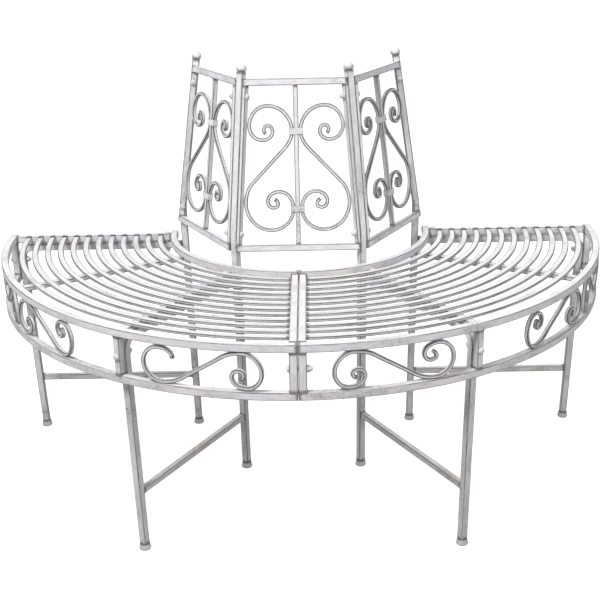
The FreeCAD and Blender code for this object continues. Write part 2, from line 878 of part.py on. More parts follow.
# Right-hand scrolls of a panel: across from the middle bar, up the panel, heading
UPPER_SCROLL = (
    (tail, upper_collar, 90),
    (53, 262.3, 0),
    (touch_stile(224.3), 224.3, -90),
    (63, 198.9, -180),
    (44, 214.8, -270),
    (53.5, 226.1, -360),
    (60.7, 217, -450),
    (57, 211, -510),
)
LOWER_SCROLL = (
    (tail, upper_collar, -90),
    (24, 181.3, -46.4),
    (84, 118.4, -46.4),
    (touch_stile(78.3), 78.3, -90),
    (49.5, 28, -180),
    (tail, lower_collar, -270),
    (34.5, 101.6, -360),
    (56.5, 83, -450),
    (46, 70.9, -540),
    (37, 76.9, -630),
    (43, 87, -690),
)


def make_panel_scrolls(label, angle, side):
    """The hook over the upper collar and the long S under it, on one side of the middle bar."""
    body = new_body(label)
    for name, marks in (("upper_scroll", UPPER_SCROLL), ("lower_scroll", LOWER_SCROLL)):
        scroll(body, name, Placement(), marks if side > 0 else mirrored_marks(marks))
    body.Placement = panel_place(angle)


COLLAR_BORE_CORNER = 0.3


def make_collars(label):
    """Bands that hold the scrolls to the middle bar of each panel, at two heights."""
    body = new_body(label)
    height, wall = size("collar_height"), size("collar_wall")
    half_width = size("panel_bar") * 0.5 + size("scroll_width") + size("collar_slack")
    half_bore = size("panel_bar") * 0.5 + SIDE_GAP
    for name, angle in PANEL_ANGLES.items():
        for level in ("upper_collar_height", "lower_collar_height"):
            low = float(size(level)) - float(height) / 2
            flat = Placement(Vector(0, low, 0), Rotation(Vector(1, 0, 0), -90))
            drawing = Drawing(body, f"{name}_{level}_section", place=panel_place(angle).multiply(flat))
            for grow, corner in ((wall, size("panel_corner")), (Size(0), Size(COLLAR_BORE_CORNER))):
                drawing.rounded_rectangle(-half_width - grow, -half_bore - grow,
                                          (half_width + grow) * 2, (half_bore + grow) * 2, corner)
            pad(body, drawing.finish(), f"{name}_{level}", height)


# Fasteners, turned about their own axis

# The straight part of a bolt's head and of a cap nut, as a share of its height
HEAD_RIM = 0.3
NUT_RIM = 0.5


def add_bolt(body, name, place, tip, seat):
    """A bolt with a domed head on its seat and its tip the other way."""
    shank, head = size("shank_radius").value, size("head_radius").value
    rim = size("head_height").value * HEAD_RIM
    points = (
        (tip, 0),
        (tip, shank),
        (seat, shank),
        (seat, head),
        (seat + rim, head),
        (seat + size("head_height").value, 0),
    )
    turned_piece(body, name, place, points, arc_start=4)


def add_cap_nut(body, name, place):
    """A cap nut that stands on X = 0 of its place and is closed at its far end."""
    shank, radius = size("shank_radius").value, size("nut_radius").value
    height, bore = size("nut_height").value, size("nut_bore").value
    points = (
        (0, shank),
        (0, radius),
        (height * NUT_RIM, radius),
        (height, 0),
        (bore, 0),
        (bore, shank),
    )
    turned_piece(body, name, place, points, arc_start=2)


BOLT_ENGAGEMENT = size("nut_bore").value


def seat_bolt_stations():
    """Each upright seat bolt: its name, its angle and the height that its head sits on."""
    for name, angle in FRAME_ANGLES.items():
        on_end_bar = name.endswith("end")
        yield name, angle, float(seat_top if on_end_bar else strap_top)


def leg_nut_reach():
    """Where the nuts of the leg bolts sit, at the inner face of the leg."""
    return front_leg_reach(size("leg_bolt_height")) - half_tube.value - END_GAP


def make_frame_bolts(label):
    """The upright seat bolts, the radial leg bolts and the bolt through the seam."""
    body = new_body(label)
    under = float(upper_brace_top) - float(tube)
    for name, angle, seat in seat_bolt_stations():
        point = outward_point(angle, size("seat_bolt_reach"), 0)
        place = axis_place(point, UP, outwards_at(angle))
        add_bolt(body, name + "_seat_bolt", place, under - BOLT_ENGAGEMENT, seat)
        height = outward_point(angle, 0, size("leg_bolt_height"))
        place = axis_place(height, outwards_at(angle), UP)
        add_bolt(body, name + "_leg_bolt", place, leg_nut_reach() - BOLT_ENGAGEMENT, float(size("seat_radius")))
    middle = Vector(0, float(half_tube) - float(size("seat_radius")), float(size("seam_bolt_height")))
    seat = float(half_seam) + float(tube)
    place = axis_place(middle, Vector(-1, 0, 0), UP)
    add_bolt(body, "seam_bolt", place, -seat - BOLT_ENGAGEMENT, seat)


def panel_bolt_stations():
    """Each panel bolt: its name, place, and how far its nut and its head sit from the post's middle."""
    for name, angle in FRAME_ANGLES.items():
        low = half_tube.value if name == "left_end" else stile_end
        high = half_tube.value if name == "right_end" else stile_end
        for level in PANEL_BOLTS:
            yield f"{name}_{level}", bolt_place(angle, level), low, high


def make_panel_bolts(label):
    body = new_body(label)
    for name, place, low, high in panel_bolt_stations():
        add_bolt(body, name, place, -low - BOLT_ENGAGEMENT, high)


def make_cap_nuts(label):
    """One cap nut for each bolt."""
    body = new_body(label)
    under = float(upper_brace_top) - float(tube)
    for name, angle in FRAME_ANGLES.items():
        outwards = outwards_at(angle)
        below = outward_point(angle, size("seat_bolt_reach"), under)
        add_cap_nut(body, name + "_seat_nut", axis_place(below, -UP, outwards))
        inner = outward_point(angle, leg_nut_reach(), size("leg_bolt_height"))
        add_cap_nut(body, name + "_leg_nut", axis_place(inner, -outwards, UP))
    seam = Vector(float(half_seam) + float(tube), float(half_tube) - float(size("seat_radius")),
                  float(size("seam_bolt_height")))
    add_cap_nut(body, "seam_nut", axis_place(seam, Vector(1, 0, 0), UP))
    for name, place, low, high in panel_bolt_stations():
        turned = Placement(Vector(-low, 0, 0), Rotation(Vector(0, 0, 1), 180))
        add_cap_nut(body, name + "_nut", place.multiply(turned))


def make_seat_spacers(label):
    """Washers that hold the seat off the upper braces."""
    body = new_body(label)
    for name, angle in FRAME_ANGLES.items():
        point = outward_point(angle, size("seat_bolt_reach"), 0)
        drawing = Drawing(body, name + "_section", height=upper_brace_top)
        for radius in (size("head_radius"), size("shank_radius")):
            drawing.circle(point.x, point.y, radius)
        pad(body, drawing.finish(), name + "_spacer", size("spacer_height"))


# The whole bench

for side_name, side in SIDES.items():
    make_rail("seat_outer_rail_" + side_name, side, outer_inside, tube_low)
    make_rail("seat_inner_rail_" + side_name, side, size("trunk_radius"), tube_low + size("inner_rail_rise"))
    make_rail("apron_rail_" + side_name, side, outer_inside, apron_top - tube)
    make_seam_bar("seam_bar_" + side_name, side)
    make_end_bar("end_bar_" + side_name, side)
    make_slats("seat_slats_" + side_name, side)
    make_straps("seat_straps_" + side_name, side)
    make_uprights("apron_uprights_" + side_name, side)
    make_front_scroll("front_scroll_" + side_name, side)
    make_side_scrolls("side_scrolls_" + side_name, side)

for frame_name, frame_angle in FRAME_ANGLES.items():
    make_front_leg("front_leg_" + frame_name, frame_angle)
    make_back_post("back_post_" + frame_name, frame_angle)
    make_lower_brace("lower_brace_" + frame_name, frame_angle)
make_foot_caps("foot_caps")
make_post_finials("post_finials")

for panel_name, panel_angle in PANEL_ANGLES.items():
    prefix = panel_name + "_panel_"
    make_panel_rail(prefix + "top_rail", panel_angle, opening)
    make_panel_rail(prefix + "bottom_rail", panel_angle, -size("panel_rail"))
    make_centre_bar(prefix + "center_bar", panel_angle)
    for side_name, side in SIDES.items():
        make_stile(prefix + side_name + "_stile", panel_angle, side)
        make_panel_scrolls(prefix + side_name + "_scrolls", panel_angle, side)
make_collars("scroll_collars")

make_frame_bolts("frame_bolts")
make_panel_bolts("panel_bolts")
make_cap_nuts("cap_nuts")
make_seat_spacers("seat_spacers")

# Check every object and piece, then write one file for each piece
document.recompute()
for item in document.Objects:
    if {"Invalid", "Error"} & set(item.State):
        raise RuntimeError(f"{item.Label} has state {item.State}")

os.makedirs("parts", exist_ok=True)
bodies = [item for item in document.Objects if item.TypeId == "PartDesign::Body"]
for body in bodies:
    if body.Shape.isNull() or not body.Shape.isValid():
        raise RuntimeError(f"{body.Label} has no valid shape")
for body in bodies:
    body.Shape.exportStep(f"parts/{body.Label}.step")
    box = body.Shape.BoundBox
    print(f"{body.Label}: {len(body.Shape.Solids)} solids, {body.Shape.Volume / 1000:.2f} cm3, "
          f"x {box.XMin:.1f} {box.XMax:.1f}, y {box.YMin:.1f} {box.YMax:.1f}, z {box.ZMin:.1f} {box.ZMax:.1f}")
print(len(bodies), "pieces")
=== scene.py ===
import itertools
import math
import random

import bmesh
import bpy
from mathutils import Euler, Matrix, Vector


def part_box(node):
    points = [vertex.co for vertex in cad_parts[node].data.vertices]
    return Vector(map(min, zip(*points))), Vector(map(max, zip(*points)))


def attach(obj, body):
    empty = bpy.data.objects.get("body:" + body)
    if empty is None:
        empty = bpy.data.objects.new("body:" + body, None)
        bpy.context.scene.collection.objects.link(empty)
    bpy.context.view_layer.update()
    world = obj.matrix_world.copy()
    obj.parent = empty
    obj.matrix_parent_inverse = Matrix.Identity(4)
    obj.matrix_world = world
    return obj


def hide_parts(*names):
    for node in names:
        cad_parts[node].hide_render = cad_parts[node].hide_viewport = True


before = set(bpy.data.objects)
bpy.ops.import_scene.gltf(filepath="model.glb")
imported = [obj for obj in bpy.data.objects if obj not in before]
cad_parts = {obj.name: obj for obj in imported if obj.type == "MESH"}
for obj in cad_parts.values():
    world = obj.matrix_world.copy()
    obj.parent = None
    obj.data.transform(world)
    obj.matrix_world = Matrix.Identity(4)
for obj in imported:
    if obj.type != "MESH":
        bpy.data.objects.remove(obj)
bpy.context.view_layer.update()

MM = 0.001
SIDES = {"left": -1, "right": 1}
FRAME_ANGLES = {"left_end": 180, "left_front": 240, "right_front": 300, "right_end": 360}
PANEL_ANGLES = {"left": -60, "center": 0, "right": 60}
SEAM_ANGLE = 270
HALF_BAY = 30

# Sizes of the bench in metres, as its solids have them
SEAT_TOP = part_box("end_bar_right")[1].z
SEAT_REACH = -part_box("seat_outer_rail_right")[0].y
TUBE = SEAT_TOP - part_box("end_bar_right")[0].z
HALF_TUBE = TUBE / 2
TUBE_CORNER = 2 * MM
HALF_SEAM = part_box("seam_bar_right")[0].x
OUTER_INSIDE = SEAT_REACH - TUBE
INNER_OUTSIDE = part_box("seat_inner_rail_right")[1].x
INNER_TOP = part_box("seat_inner_rail_right")[1].z
UP = Vector((0, 0, 1))


def polar(angle, reach, height):
    """A point at an angle round the tree, a distance from its middle and a height."""
    turn = math.radians(angle)
    return Vector((math.cos(turn) * reach, math.sin(turn) * reach, height))


# Node trees written as expressions

class Wire:
    """An output socket. Arithmetic on it adds Math nodes to its tree."""

    def __init__(self, drawing, socket):
        self.drawing = drawing
        self.socket = socket

    def output(self, name):
        return Wire(self.drawing, self.socket.node.outputs[name])

    def __add__(self, other):
        return self.drawing.math("ADD", self, other)

    def __sub__(self, other):
        return self.drawing.math("SUBTRACT", self, other)

    def __rsub__(self, other):
        return self.drawing.math("SUBTRACT", other, self)

    def __mul__(self, other):
        return self.drawing.math("MULTIPLY", self, other)

    __radd__ = __add__
    __rmul__ = __mul__


class NodeDrawing:
    """A node tree, with one method that adds any node and a few short names for common ones."""

    def __init__(self, tree):
        self.tree = tree
        self.tree.nodes.clear()

    def node(self, kind, settings=(), values=(), output=0):
        made = self.tree.nodes.new(kind)
        for name, value in dict(settings).items():
            setattr(made, name, value)
        for key, value in dict(values).items():
            if isinstance(value, Wire):
                self.tree.links.new(value.socket, made.inputs[key])
            else:
                made.inputs[key].default_value = value
        return Wire(self, made.outputs[output]) if len(made.outputs) else made

    def math(self, operation, *values):
        return self.node("ShaderNodeMath", {"operation": operation}, enumerate(values))

    def vector(self, operation, *values):
        return self.node("ShaderNodeVectorMath", {"operation": operation}, enumerate(values))

    def mix(self, factor, first, second):
        """A colour between two colours."""
        return self.node("ShaderNodeMix", {"data_type": "RGBA"}, {0: factor, 6: first, 7: second}, 2)

    def ramp(self, value, start, end):
        """0 below start, 1 above end and a smooth step between them."""
        return self.node("ShaderNodeMapRange", {"interpolation_type": "SMOOTHSTEP"},
                         {0: value, 1: start, 2: end, 3: 0.0, 4: 1.0})

    def noise(self, place, scale, detail=3.0, roughness=0.55):
        return self.node("ShaderNodeTexNoise", {},
                         {"Vector": place, "Scale": scale, "Detail": detail, "Roughness": roughness})


# Paint

# Shares of red, green and blue in the paint and in the dark metal
COOL_PAINT = (0.99, 0.975, 1.015)
WARM_PAINT = (1.02, 0.985, 0.97)
THIN_PAINT = (1.0, 0.98, 1.02)
DUST_AND_SHADE_PAINT = (1.03, 0.99, 0.95)
METAL = (1.06, 1.0, 0.94)

# Noise scales, in turns for each metre
BRUSH_GRAIN = (420.0, 420.0, 50.0)
TINT_GRAIN = 9.0
PATCH_GRAIN = 16.0
FLECK_GRAIN = 330.0

# Heights in metres: dust and painted shade under the seat are thickest below the first, and there is none
# above the second
DUST_AND_SHADE_HEIGHTS = (0.25, 0.46)
# Distances from a bar's end in metres: where its clean end face stops, where dirt starts to fade, where
# it is gone, and how ragged its border is
END_FACE = 0.0003
DIRT_FADES = 0.001
DIRT_GONE = 0.007
DIRT_RAGGED = 0.008

# Noise values between which one look passes into another
TINT_RANGE = (0.42, 0.6)
BRUSHED_RANGE = (0.38, 0.64)
WORN_RANGE = (0.575, 0.66)
# Distances from an edge, in edge widths, over which the thin rim fades out (thinner paint and painted shade
# where faces round off), and the dark edge line (partly bare metal, partly painted shade)
SHADED_RIM_START, SHADED_RIM_END = 0.8, 1.8
DARK_EDGE_START, DARK_EDGE_END = 0.4, 1.1
# How ragged the dark edge line's border is, in edge widths
FLECKED, PATCHED = 1.2, 1.6

# How much brushing, the shaded rim, and dust with painted shade under the seat thin the paint towards its
# darker colour, and how dark edges (partly painted shade), joints and worn spots get
BRUSHED_THIN, SHADED_RIM_THIN, DUST_AND_SHADE_THIN = 0.7, 0.5, 0.35
EDGE_DARK, JOINT_DARK, WORN_DARK = 0.92, 0.85, 0.65

PAINT_ROUGHNESS = 0.5
DIRT_ROUGHNESS = 0.2
BUMP_STRENGTH = 0.35
BUMP_HEIGHT = 0.0006


def colour(red, green, blue):
    return (red, green, blue, 1.0)


def tinted(level, shares):
    return colour(*(level * share for share in shares))


def antique_paint(name, light, shade, dirt, edge_width):
    """Pale paint brushed over dark metal: streaked and patchy, lighter along the middle of each face and
    darker towards its edges, partly thinner paint and partly painted shade where the faces round off.
    It is dark along the edges, partly paint worn through and partly painted shade, dark in the joints, and
    darker towards the ground, partly dust and partly painted shade under the seat.
    Each bar's attributes give its section, its half sizes, the way along it and how near its end is."""
    material = bpy.data.materials.new(name)
    material.use_nodes = True
    draw = NodeDrawing(material.node_tree)
    place = draw.node("ShaderNodeTexCoord").output("Object")
    section = draw.node("ShaderNodeAttribute", {"attribute_name": "bar_place"}, output="Vector")
    half = draw.node("ShaderNodeAttribute", {"attribute_name": "bar_half"}, output="Vector")
    ends = draw.node("ShaderNodeAttribute", {"attribute_name": "bar_end"}, output="Fac")
    spot = draw.node("ShaderNodeSeparateXYZ", {}, {0: section})
    size = draw.node("ShaderNodeSeparateXYZ", {}, {0: half})
    across = size.output("X") - draw.math("ABSOLUTE", spot.output("X"))
    deep = size.output("Y") - draw.math("ABSOLUTE", spot.output("Y"))
    from_edge = draw.math("MAXIMUM", across, deep)
    height = draw.node("ShaderNodeSeparateXYZ", {}, {0: place}).output("Z")
    streak = draw.noise(draw.vector("MULTIPLY", section, BRUSH_GRAIN), 1.0, roughness=0.6)
    patch = draw.noise(place, PATCH_GRAIN)
    tint = draw.noise(place, TINT_GRAIN, detail=2.0)
    fleck = draw.noise(place, FLECK_GRAIN, detail=4.0, roughness=0.65)
    # Darker towards the ground: partly dust, partly painted shade under the seat, ending at seat height
    low = 1 - draw.ramp(height, *DUST_AND_SHADE_HEIGHTS)
    brushed = draw.ramp(patch * 0.5 + streak * 0.5, *BRUSHED_RANGE)
    # Painted shade where each face rounds off towards its edges, together with thinner paint there
    rim = 1 - draw.ramp(from_edge, edge_width * SHADED_RIM_START, edge_width * SHADED_RIM_END)
    thin = draw.math("MINIMUM", brushed * BRUSHED_THIN + rim * SHADED_RIM_THIN + low * DUST_AND_SHADE_THIN, 1.0)
    pale = draw.mix(draw.ramp(tint, *TINT_RANGE), tinted(light, COOL_PAINT), tinted(light, WARM_PAINT))
    dull = draw.mix(low, tinted(shade, THIN_PAINT), tinted(shade, DUST_AND_SHADE_PAINT))
    body = draw.mix(thin, pale, dull)
    # A dark line along each edge: partly paint worn through to the metal, partly painted shade where the edge
    # turns from the light
    ragged = from_edge + (fleck - 0.5) * edge_width * FLECKED + (patch - 0.5) * edge_width * PATCHED
    worn_and_shaded_edge = (1 - draw.ramp(ragged, edge_width * DARK_EDGE_START, edge_width * DARK_EDGE_END)) * EDGE_DARK
    on_side = draw.ramp(ends, 0.0, END_FACE)
    dirty = 1 - draw.ramp(ends + (streak - 0.5) * DIRT_RAGGED, DIRT_FADES, DIRT_GONE)
    joint = dirty * on_side * JOINT_DARK
    worn = draw.ramp(fleck * 0.6 + patch * 0.4 + low * 0.03, *WORN_RANGE) * WORN_DARK
    soiled = draw.math("MAXIMUM", draw.math("MAXIMUM", worn_and_shaded_edge, joint), worn)
    paint = draw.mix(soiled, body, tinted(dirt, METAL))
    relief = fleck * 0.5 + streak * 0.5 - soiled * 0.4
    bump = draw.node("ShaderNodeBump", {}, {
        "Strength": BUMP_STRENGTH, "Distance": BUMP_HEIGHT, "Height": relief})
    shader = draw.node("ShaderNodeBsdfPrincipled", {}, {
        "Base Color": paint, "Roughness": PAINT_ROUGHNESS + soiled * DIRT_ROUGHNESS, "Normal": bump})
    draw.node("ShaderNodeOutputMaterial", {}, {"Surface": shader})
    return material


PAINTS = {
    "frame_paint": antique_paint("frame_paint", light=0.86, shade=0.56, dirt=0.10, edge_width=1.5 * MM),
    "slat_paint": antique_paint("slat_paint", light=0.80, shade=0.59, dirt=0.08, edge_width=1.8 * MM),
    "scroll_paint": antique_paint("scroll_paint", light=0.90, shade=0.52, dirt=0.06, edge_width=2.2 * MM),
    "fastener_paint": antique_paint("fastener_paint", light=0.78, shade=0.50, dirt=0.14, edge_width=0.5 * MM),
}


# Pieces

def new_tree(name, inputs):
    """A geometry tree with named inputs after its geometry, and a wire for each of them."""
    tree = bpy.data.node_groups.new(name, "GeometryNodeTree")
    tree.interface.new_socket("Geometry", in_out="OUTPUT", socket_type="NodeSocketGeometry")
    tree.interface.new_socket("Geometry", in_out="INPUT", socket_type="NodeSocketGeometry")
    for label, kind in inputs.items():
        tree.interface.new_socket(label, in_out="INPUT", socket_type="NodeSocket" + kind)
    draw = NodeDrawing(tree)
    entry = draw.node("NodeGroupInput")
    return draw, {label: entry.output(label) for label in ("Geometry", *inputs)}


def stored(draw, geometry, name, value, kind="FLOAT"):
    return draw.node("GeometryNodeStoreNamedAttribute", {"data_type": kind, "domain": "POINT"},
                     {"Geometry": geometry, "Name": name, "Value": value})


def finish_tree(draw, geometry, paint):
    solid = draw.node("GeometryNodeRealizeInstances", {}, {"Geometry": geometry})
    solid = draw.node("GeometryNodeSetMaterial", {}, {"Geometry": solid, "Material": paint})
    draw.node("NodeGroupOutput", {}, {"Geometry": solid})
    return draw.tree


BAR_INPUTS = {
    "Width": "Float",
    "Depth": "Float",
    "Corner": "Float",
    "Step": "Float",
    "Uneven": "Float",
    "Seed": "Float",
    "Paint": "Material",
}
SECTION_POINTS = 24
BAR_STEP = 8 * MM
BAR_UNEVEN = 0.25 * MM
WAVE_GRAIN = 60.0
# How far a bar's streaks are shifted from those of the bar made before it
STREAK_SHIFT = 3.7


def bar_tree():
    """Bars of rounded section along chains of edges, each with its width along its own facing."""
    draw, given = new_tree("bar_along_path", BAR_INPUTS)
    facing = draw.node("GeometryNodeInputNamedAttribute", {"data_type": "FLOAT_VECTOR"}, {"Name": "facing"})
    path = draw.node("GeometryNodeMeshToCurve", {}, {"Mesh": given["Geometry"]})
    path = draw.node("GeometryNodeResampleCurve", {"mode": "LENGTH"},
                     {"Curve": path, "Length": given["Step"]})
    path = draw.node("GeometryNodeSetCurveNormal", {"mode": "FREE"}, {"Curve": path, "Normal": facing})
    gone = draw.node("GeometryNodeSplineParameter").output("Length")
    whole = draw.node("GeometryNodeSplineLength").output("Length")
    path = stored(draw, path, "bar_end", draw.math("MINIMUM", gone, whole - gone))
    path = stored(draw, path, "bar_along", gone + given["Seed"])

    ring = draw.node("GeometryNodeCurvePrimitiveCircle", {"mode": "RADIUS"},
                     {"Resolution": SECTION_POINTS, "Radius": 1.0})
    ring = draw.node("GeometryNodeTransform", {}, {
        "Geometry": ring, "Rotation": Euler((0, 0, math.pi / SECTION_POINTS))})
    spot = draw.node("GeometryNodeInputPosition")
    halves = draw.node("ShaderNodeCombineXYZ", {}, {0: given["Width"] * 0.5, 1: given["Depth"] * 0.5})
    corner = draw.node("ShaderNodeCombineXYZ", {}, {0: given["Corner"], 1: given["Corner"]})
    core = draw.vector("SUBTRACT", halves, corner)
    spread = draw.vector("MULTIPLY", draw.vector("SIGN", spot), core)
    rounded = draw.vector("ADD", spread, draw.vector("MULTIPLY", spot, corner))
    ring = draw.node("GeometryNodeSetPosition", {}, {"Geometry": ring, "Position": rounded})
    ring = stored(draw, ring, "bar_section", spot, "FLOAT_VECTOR")
    ring = stored(draw, ring, "bar_half", halves, "FLOAT_VECTOR")

    bar = draw.node("GeometryNodeCurveToMesh", {},
                    {"Curve": path, "Profile Curve": ring, "Fill Caps": True})
    section = draw.node("GeometryNodeInputNamedAttribute", {"data_type": "FLOAT_VECTOR"},
                        {"Name": "bar_section"})
    along = draw.node("GeometryNodeInputNamedAttribute", {"data_type": "FLOAT"}, {"Name": "bar_along"})
    lift = draw.node("ShaderNodeCombineXYZ", {}, {2: along})
    bar = stored(draw, bar, "bar_place", draw.vector("ADD", section, lift), "FLOAT_VECTOR")
    wave = draw.noise(draw.node("GeometryNodeInputPosition"), WAVE_GRAIN, detail=2.0) - 0.5
    shift = draw.node("ShaderNodeVectorMath", {"operation": "SCALE"}, {
        0: draw.node("GeometryNodeInputNormal"), "Scale": wave * given["Uneven"]})
    bar = draw.node("GeometryNodeSetPosition", {}, {"Geometry": bar, "Offset": shift})
    return finish_tree(draw, bar, given["Paint"])


def copies_tree():
    """Copies of one shape at points, each with its own Z along the point's aim."""
    draw, given = new_tree("copies_at_points", {"Shape": "Object", "Paint": "Material"})
    aim = draw.node("GeometryNodeInputNamedAttribute", {"data_type": "FLOAT_VECTOR"}, {"Name": "facing"})
    turn = draw.node("FunctionNodeAlignRotationToVector", {"axis": "Z"}, {"Vector": aim})
    shape = draw.node("GeometryNodeObjectInfo", {}, {"Object": given["Shape"]}).output("Geometry")
    copies = draw.node("GeometryNodeInstanceOnPoints", {}, {
        "Points": given["Geometry"], "Instance": shape, "Rotation": turn})
    return finish_tree(draw, copies, given["Paint"])


BAR_TREE = bar_tree()
COPIES_TREE = copies_tree()


def add_mesh(name, points, edges=(), faces=(), **attributes):
    """A mesh object with attributes on its points. Each attribute holds one value for each point."""
    mesh = bpy.data.meshes.new(name)
    mesh.from_pydata(points, edges, faces)
    for label, values in attributes.items():
        single = isinstance(values[0], float)
        layer = mesh.attributes.new(label, "FLOAT" if single else "FLOAT_VECTOR", "POINT")
        for spot, value in zip(layer.data, values):
            if single:
                spot.value = value
            else:
                spot.vector = value
    piece = bpy.data.objects.new(name, mesh)
    bpy.context.scene.collection.objects.link(piece)
    return piece


def run_tree(piece, tree, sizes):
    """The plain mesh that a geometry tree makes of an object, which then takes the object's place."""
    modifier = piece.modifiers.new("shape", "NODES")
    modifier.node_group = tree
    for item in tree.interface.items_tree:
        if item.in_out == "INPUT" and item.name in sizes:
            modifier[item.identifier] = sizes[item.name]
    bpy.context.view_layer.update()
    evaluated = piece.evaluated_get(bpy.context.evaluated_depsgraph_get())
    mesh = bpy.data.meshes.new_from_object(evaluated)
    name = piece.name
    bpy.data.objects.remove(piece)
    made = bpy.data.objects.new(name, mesh)
    bpy.context.scene.collection.objects.link(made)
    return made


bar_numbers = itertools.count(1)


def make_bars(slot, runs, width, depth, corner, step=BAR_STEP, uneven=BAR_UNEVEN):
    """Bars along runs. Each run is a list of points and the direction that the width lies along."""
    points, edges, facings = [], [], []
    for run, facing in runs:
        edges += [(len(points) + index, len(points) + index + 1) for index in range(len(run) - 1)]
        points += run
        facings += [facing] * len(run)
    return run_tree(add_mesh("bars", points, edges, facing=facings), BAR_TREE, {
        "Width": width, "Depth": depth, "Corner": corner, "Step": step, "Uneven": uneven,
        "Seed": next(bar_numbers) * STREAK_SHIFT, "Paint": PAINTS[slot]})


def make_copies(shape, slot, stations):
    """Copies of a shape at stations, which are pairs of a point and an aim. The shape is used up."""
    points, aims = zip(*stations)
    sizes = {"Shape": shape, "Paint": PAINTS[slot]}
    made = run_tree(add_mesh("copies", points, facing=aims), COPIES_TREE, sizes)
    bpy.data.objects.remove(shape)
    return made


def merged(pieces):
    if len(pieces) > 1:
        with bpy.context.temp_override(object=pieces[0], active_object=pieces[0],
                                       selected_objects=pieces, selected_editable_objects=pieces):
            bpy.ops.object.join()
    return pieces[0]


# How strongly large faces draw the shading flat, in percent
FLAT_WEIGHT = 50


def finish_piece(node, slot, *pieces):
    """Join the parts of a piece that stands for a node, with its flats shaded flat."""
    piece = merged(list(pieces))
    piece.name = node + "_look"
    for face in piece.data.polygons:
        face.use_smooth = True
    modifier = piece.modifiers.new("normals", "WEIGHTED_NORMAL")
    modifier.weight = FLAT_WEIGHT
    modifier.keep_sharp = True
    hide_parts(node)
    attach(piece, "root")


def tube_bars(runs, width=TUBE, depth=None):
    return make_bars("frame_paint", runs, width, depth or width, TUBE_CORNER)


WELD = 2.2 * MM
WELD_CORNER = WELD * 0.4
WELD_STEP = 1.5 * MM
WELD_UNEVEN = 0.9 * MM
CORNER_STEPS = 3


def weld_loop(middle, axis, side, half_width, half_depth):
    """Once round a tube, whose width lies along side, and the direction of the tube."""
    other = axis.cross(side)
    points = []
    for quarter, (right, up) in enumerate(((1, 1), (-1, 1), (-1, -1), (1, -1))):
        for step in range(CORNER_STEPS + 1):
            turn = math.radians(90 * (quarter + step / CORNER_STEPS))
            across = right * (half_width - TUBE_CORNER) + math.cos(turn) * TUBE_CORNER
            rise = up * (half_depth - TUBE_CORNER) + math.sin(turn) * TUBE_CORNER
            points.append(middle + side * across + other * rise)
    return [*points, points[0]], axis


def make_welds(joints, half_width=HALF_TUBE, half_depth=HALF_TUBE):
    """Uneven beads where tubes end. Each joint is a middle, the tube's axis and the side of its width."""
    runs = [weld_loop(*joint, half_width, half_depth) for joint in joints]
    return make_bars("frame_paint", runs, WELD, WELD, WELD_CORNER, WELD_STEP, WELD_UNEVEN)


def cut_end(piece, point, outwards):
    """Cut a piece off at a plane, on the side that the direction points to, and close the cut."""
    shape = bmesh.new()
    shape.from_mesh(piece.data)
    everything = shape.verts[:] + shape.edges[:] + shape.faces[:]
    cut = bmesh.ops.bisect_plane(shape, geom=everything, plane_co=point, plane_no=outwards, clear_outer=True)
    rim = [item for item in cut["geom_cut"] if isinstance(item, bmesh.types.BMEdge)]
    bmesh.ops.edgeloop_fill(shape, edges=rim)
    bmesh.ops.recalc_face_normals(shape, faces=shape.faces[:])
    shape.to_mesh(piece.data)
    shape.free()


# Distance from an edge that counts as being on an open face
OPEN_FACE = 10 * MM
# How far the streaks on a round piece climb in a radian
STREAK_WIND = 3 * MM


def loft(name, levels, sides, outline):
    """A skin over loops round Z. Each level is a height, a radius and how far it is from an edge, and
    outline gives the point of a loop at a radius and a turn. A radius of nothing closes the skin."""
    points, faces, halves, loops = [], [], [], []
    for height, radius, edge in levels:
        count = sides if radius > 0 else 1
        loops.append(range(len(points), len(points) + count))
        for index in range(count):
            across, up = outline(radius, 2 * math.pi * index / sides) if radius > 0 else (0, 0)
            points.append(Vector((across, up, height)))
            halves.append(Vector((edge, 0, 0)))
    for low, high in zip(loops, loops[1:]):
        for index in range(sides):
            following = (index + 1) % sides
            ring = [low[index % len(low)], low[following % len(low)],
                    high[following % len(high)], high[index % len(high)]]
            faces.append(list(dict.fromkeys(ring)))
    places = [Vector((0, 0, point.z + math.atan2(point.y, point.x) * STREAK_WIND)) for point in points]
    return add_mesh(name, points, faces=faces, bar_place=places, bar_half=halves, bar_end=[1.0] * len(points))


def round_outline(radius, turn):
    return radius * math.cos(turn), radius * math.sin(turn)


def turned(name, levels, sides=28, outline=round_outline):
    """A piece turned about Z, with the heights and radii of its levels in millimetres."""
    levels = [(height * MM, radius * MM, edge) for height, radius, edge in levels]
    return loft(name, levels, sides, outline)


def dome(low, high, radius, steps=5):
    """Levels of a rounded cap from a rim to the middle of its top."""
    levels = []
    for index in range(steps + 1):
        turn = math.pi / 2 * index / steps
        reach = radius * math.cos(turn) if index < steps else 0
        levels.append((low + (high - low) * math.sin(turn), reach, OPEN_FACE))
    return levels


def arc(start, end, reach, height, steps=60):
    """Points along a level arc about the tree."""
    return [polar(start + (end - start) * index / steps, reach, height) for index in range(steps + 1)]


def bent(first, corner, last, radius, steps=12):
    """Points along two straight runs with a round bend between them."""
    into = (corner - first).normalized()
    out = (last - corner).normalized()
    turn = into.angle(out)
    back = radius * math.tan(turn / 2)
    middle = corner + (out - into).normalized() * (radius / math.cos(turn / 2))
    spoke = corner - into * back - middle
    points = [first]
    for index in range(steps + 1):
        swing = turn * index / steps
        points.append(middle + spoke * math.cos(swing) + into * (radius * math.sin(swing)))
    return [*points, last]


# Below these, a turn counts as straight and two headings as the same
STRAIGHT = 1e-4
TINY = 1e-6


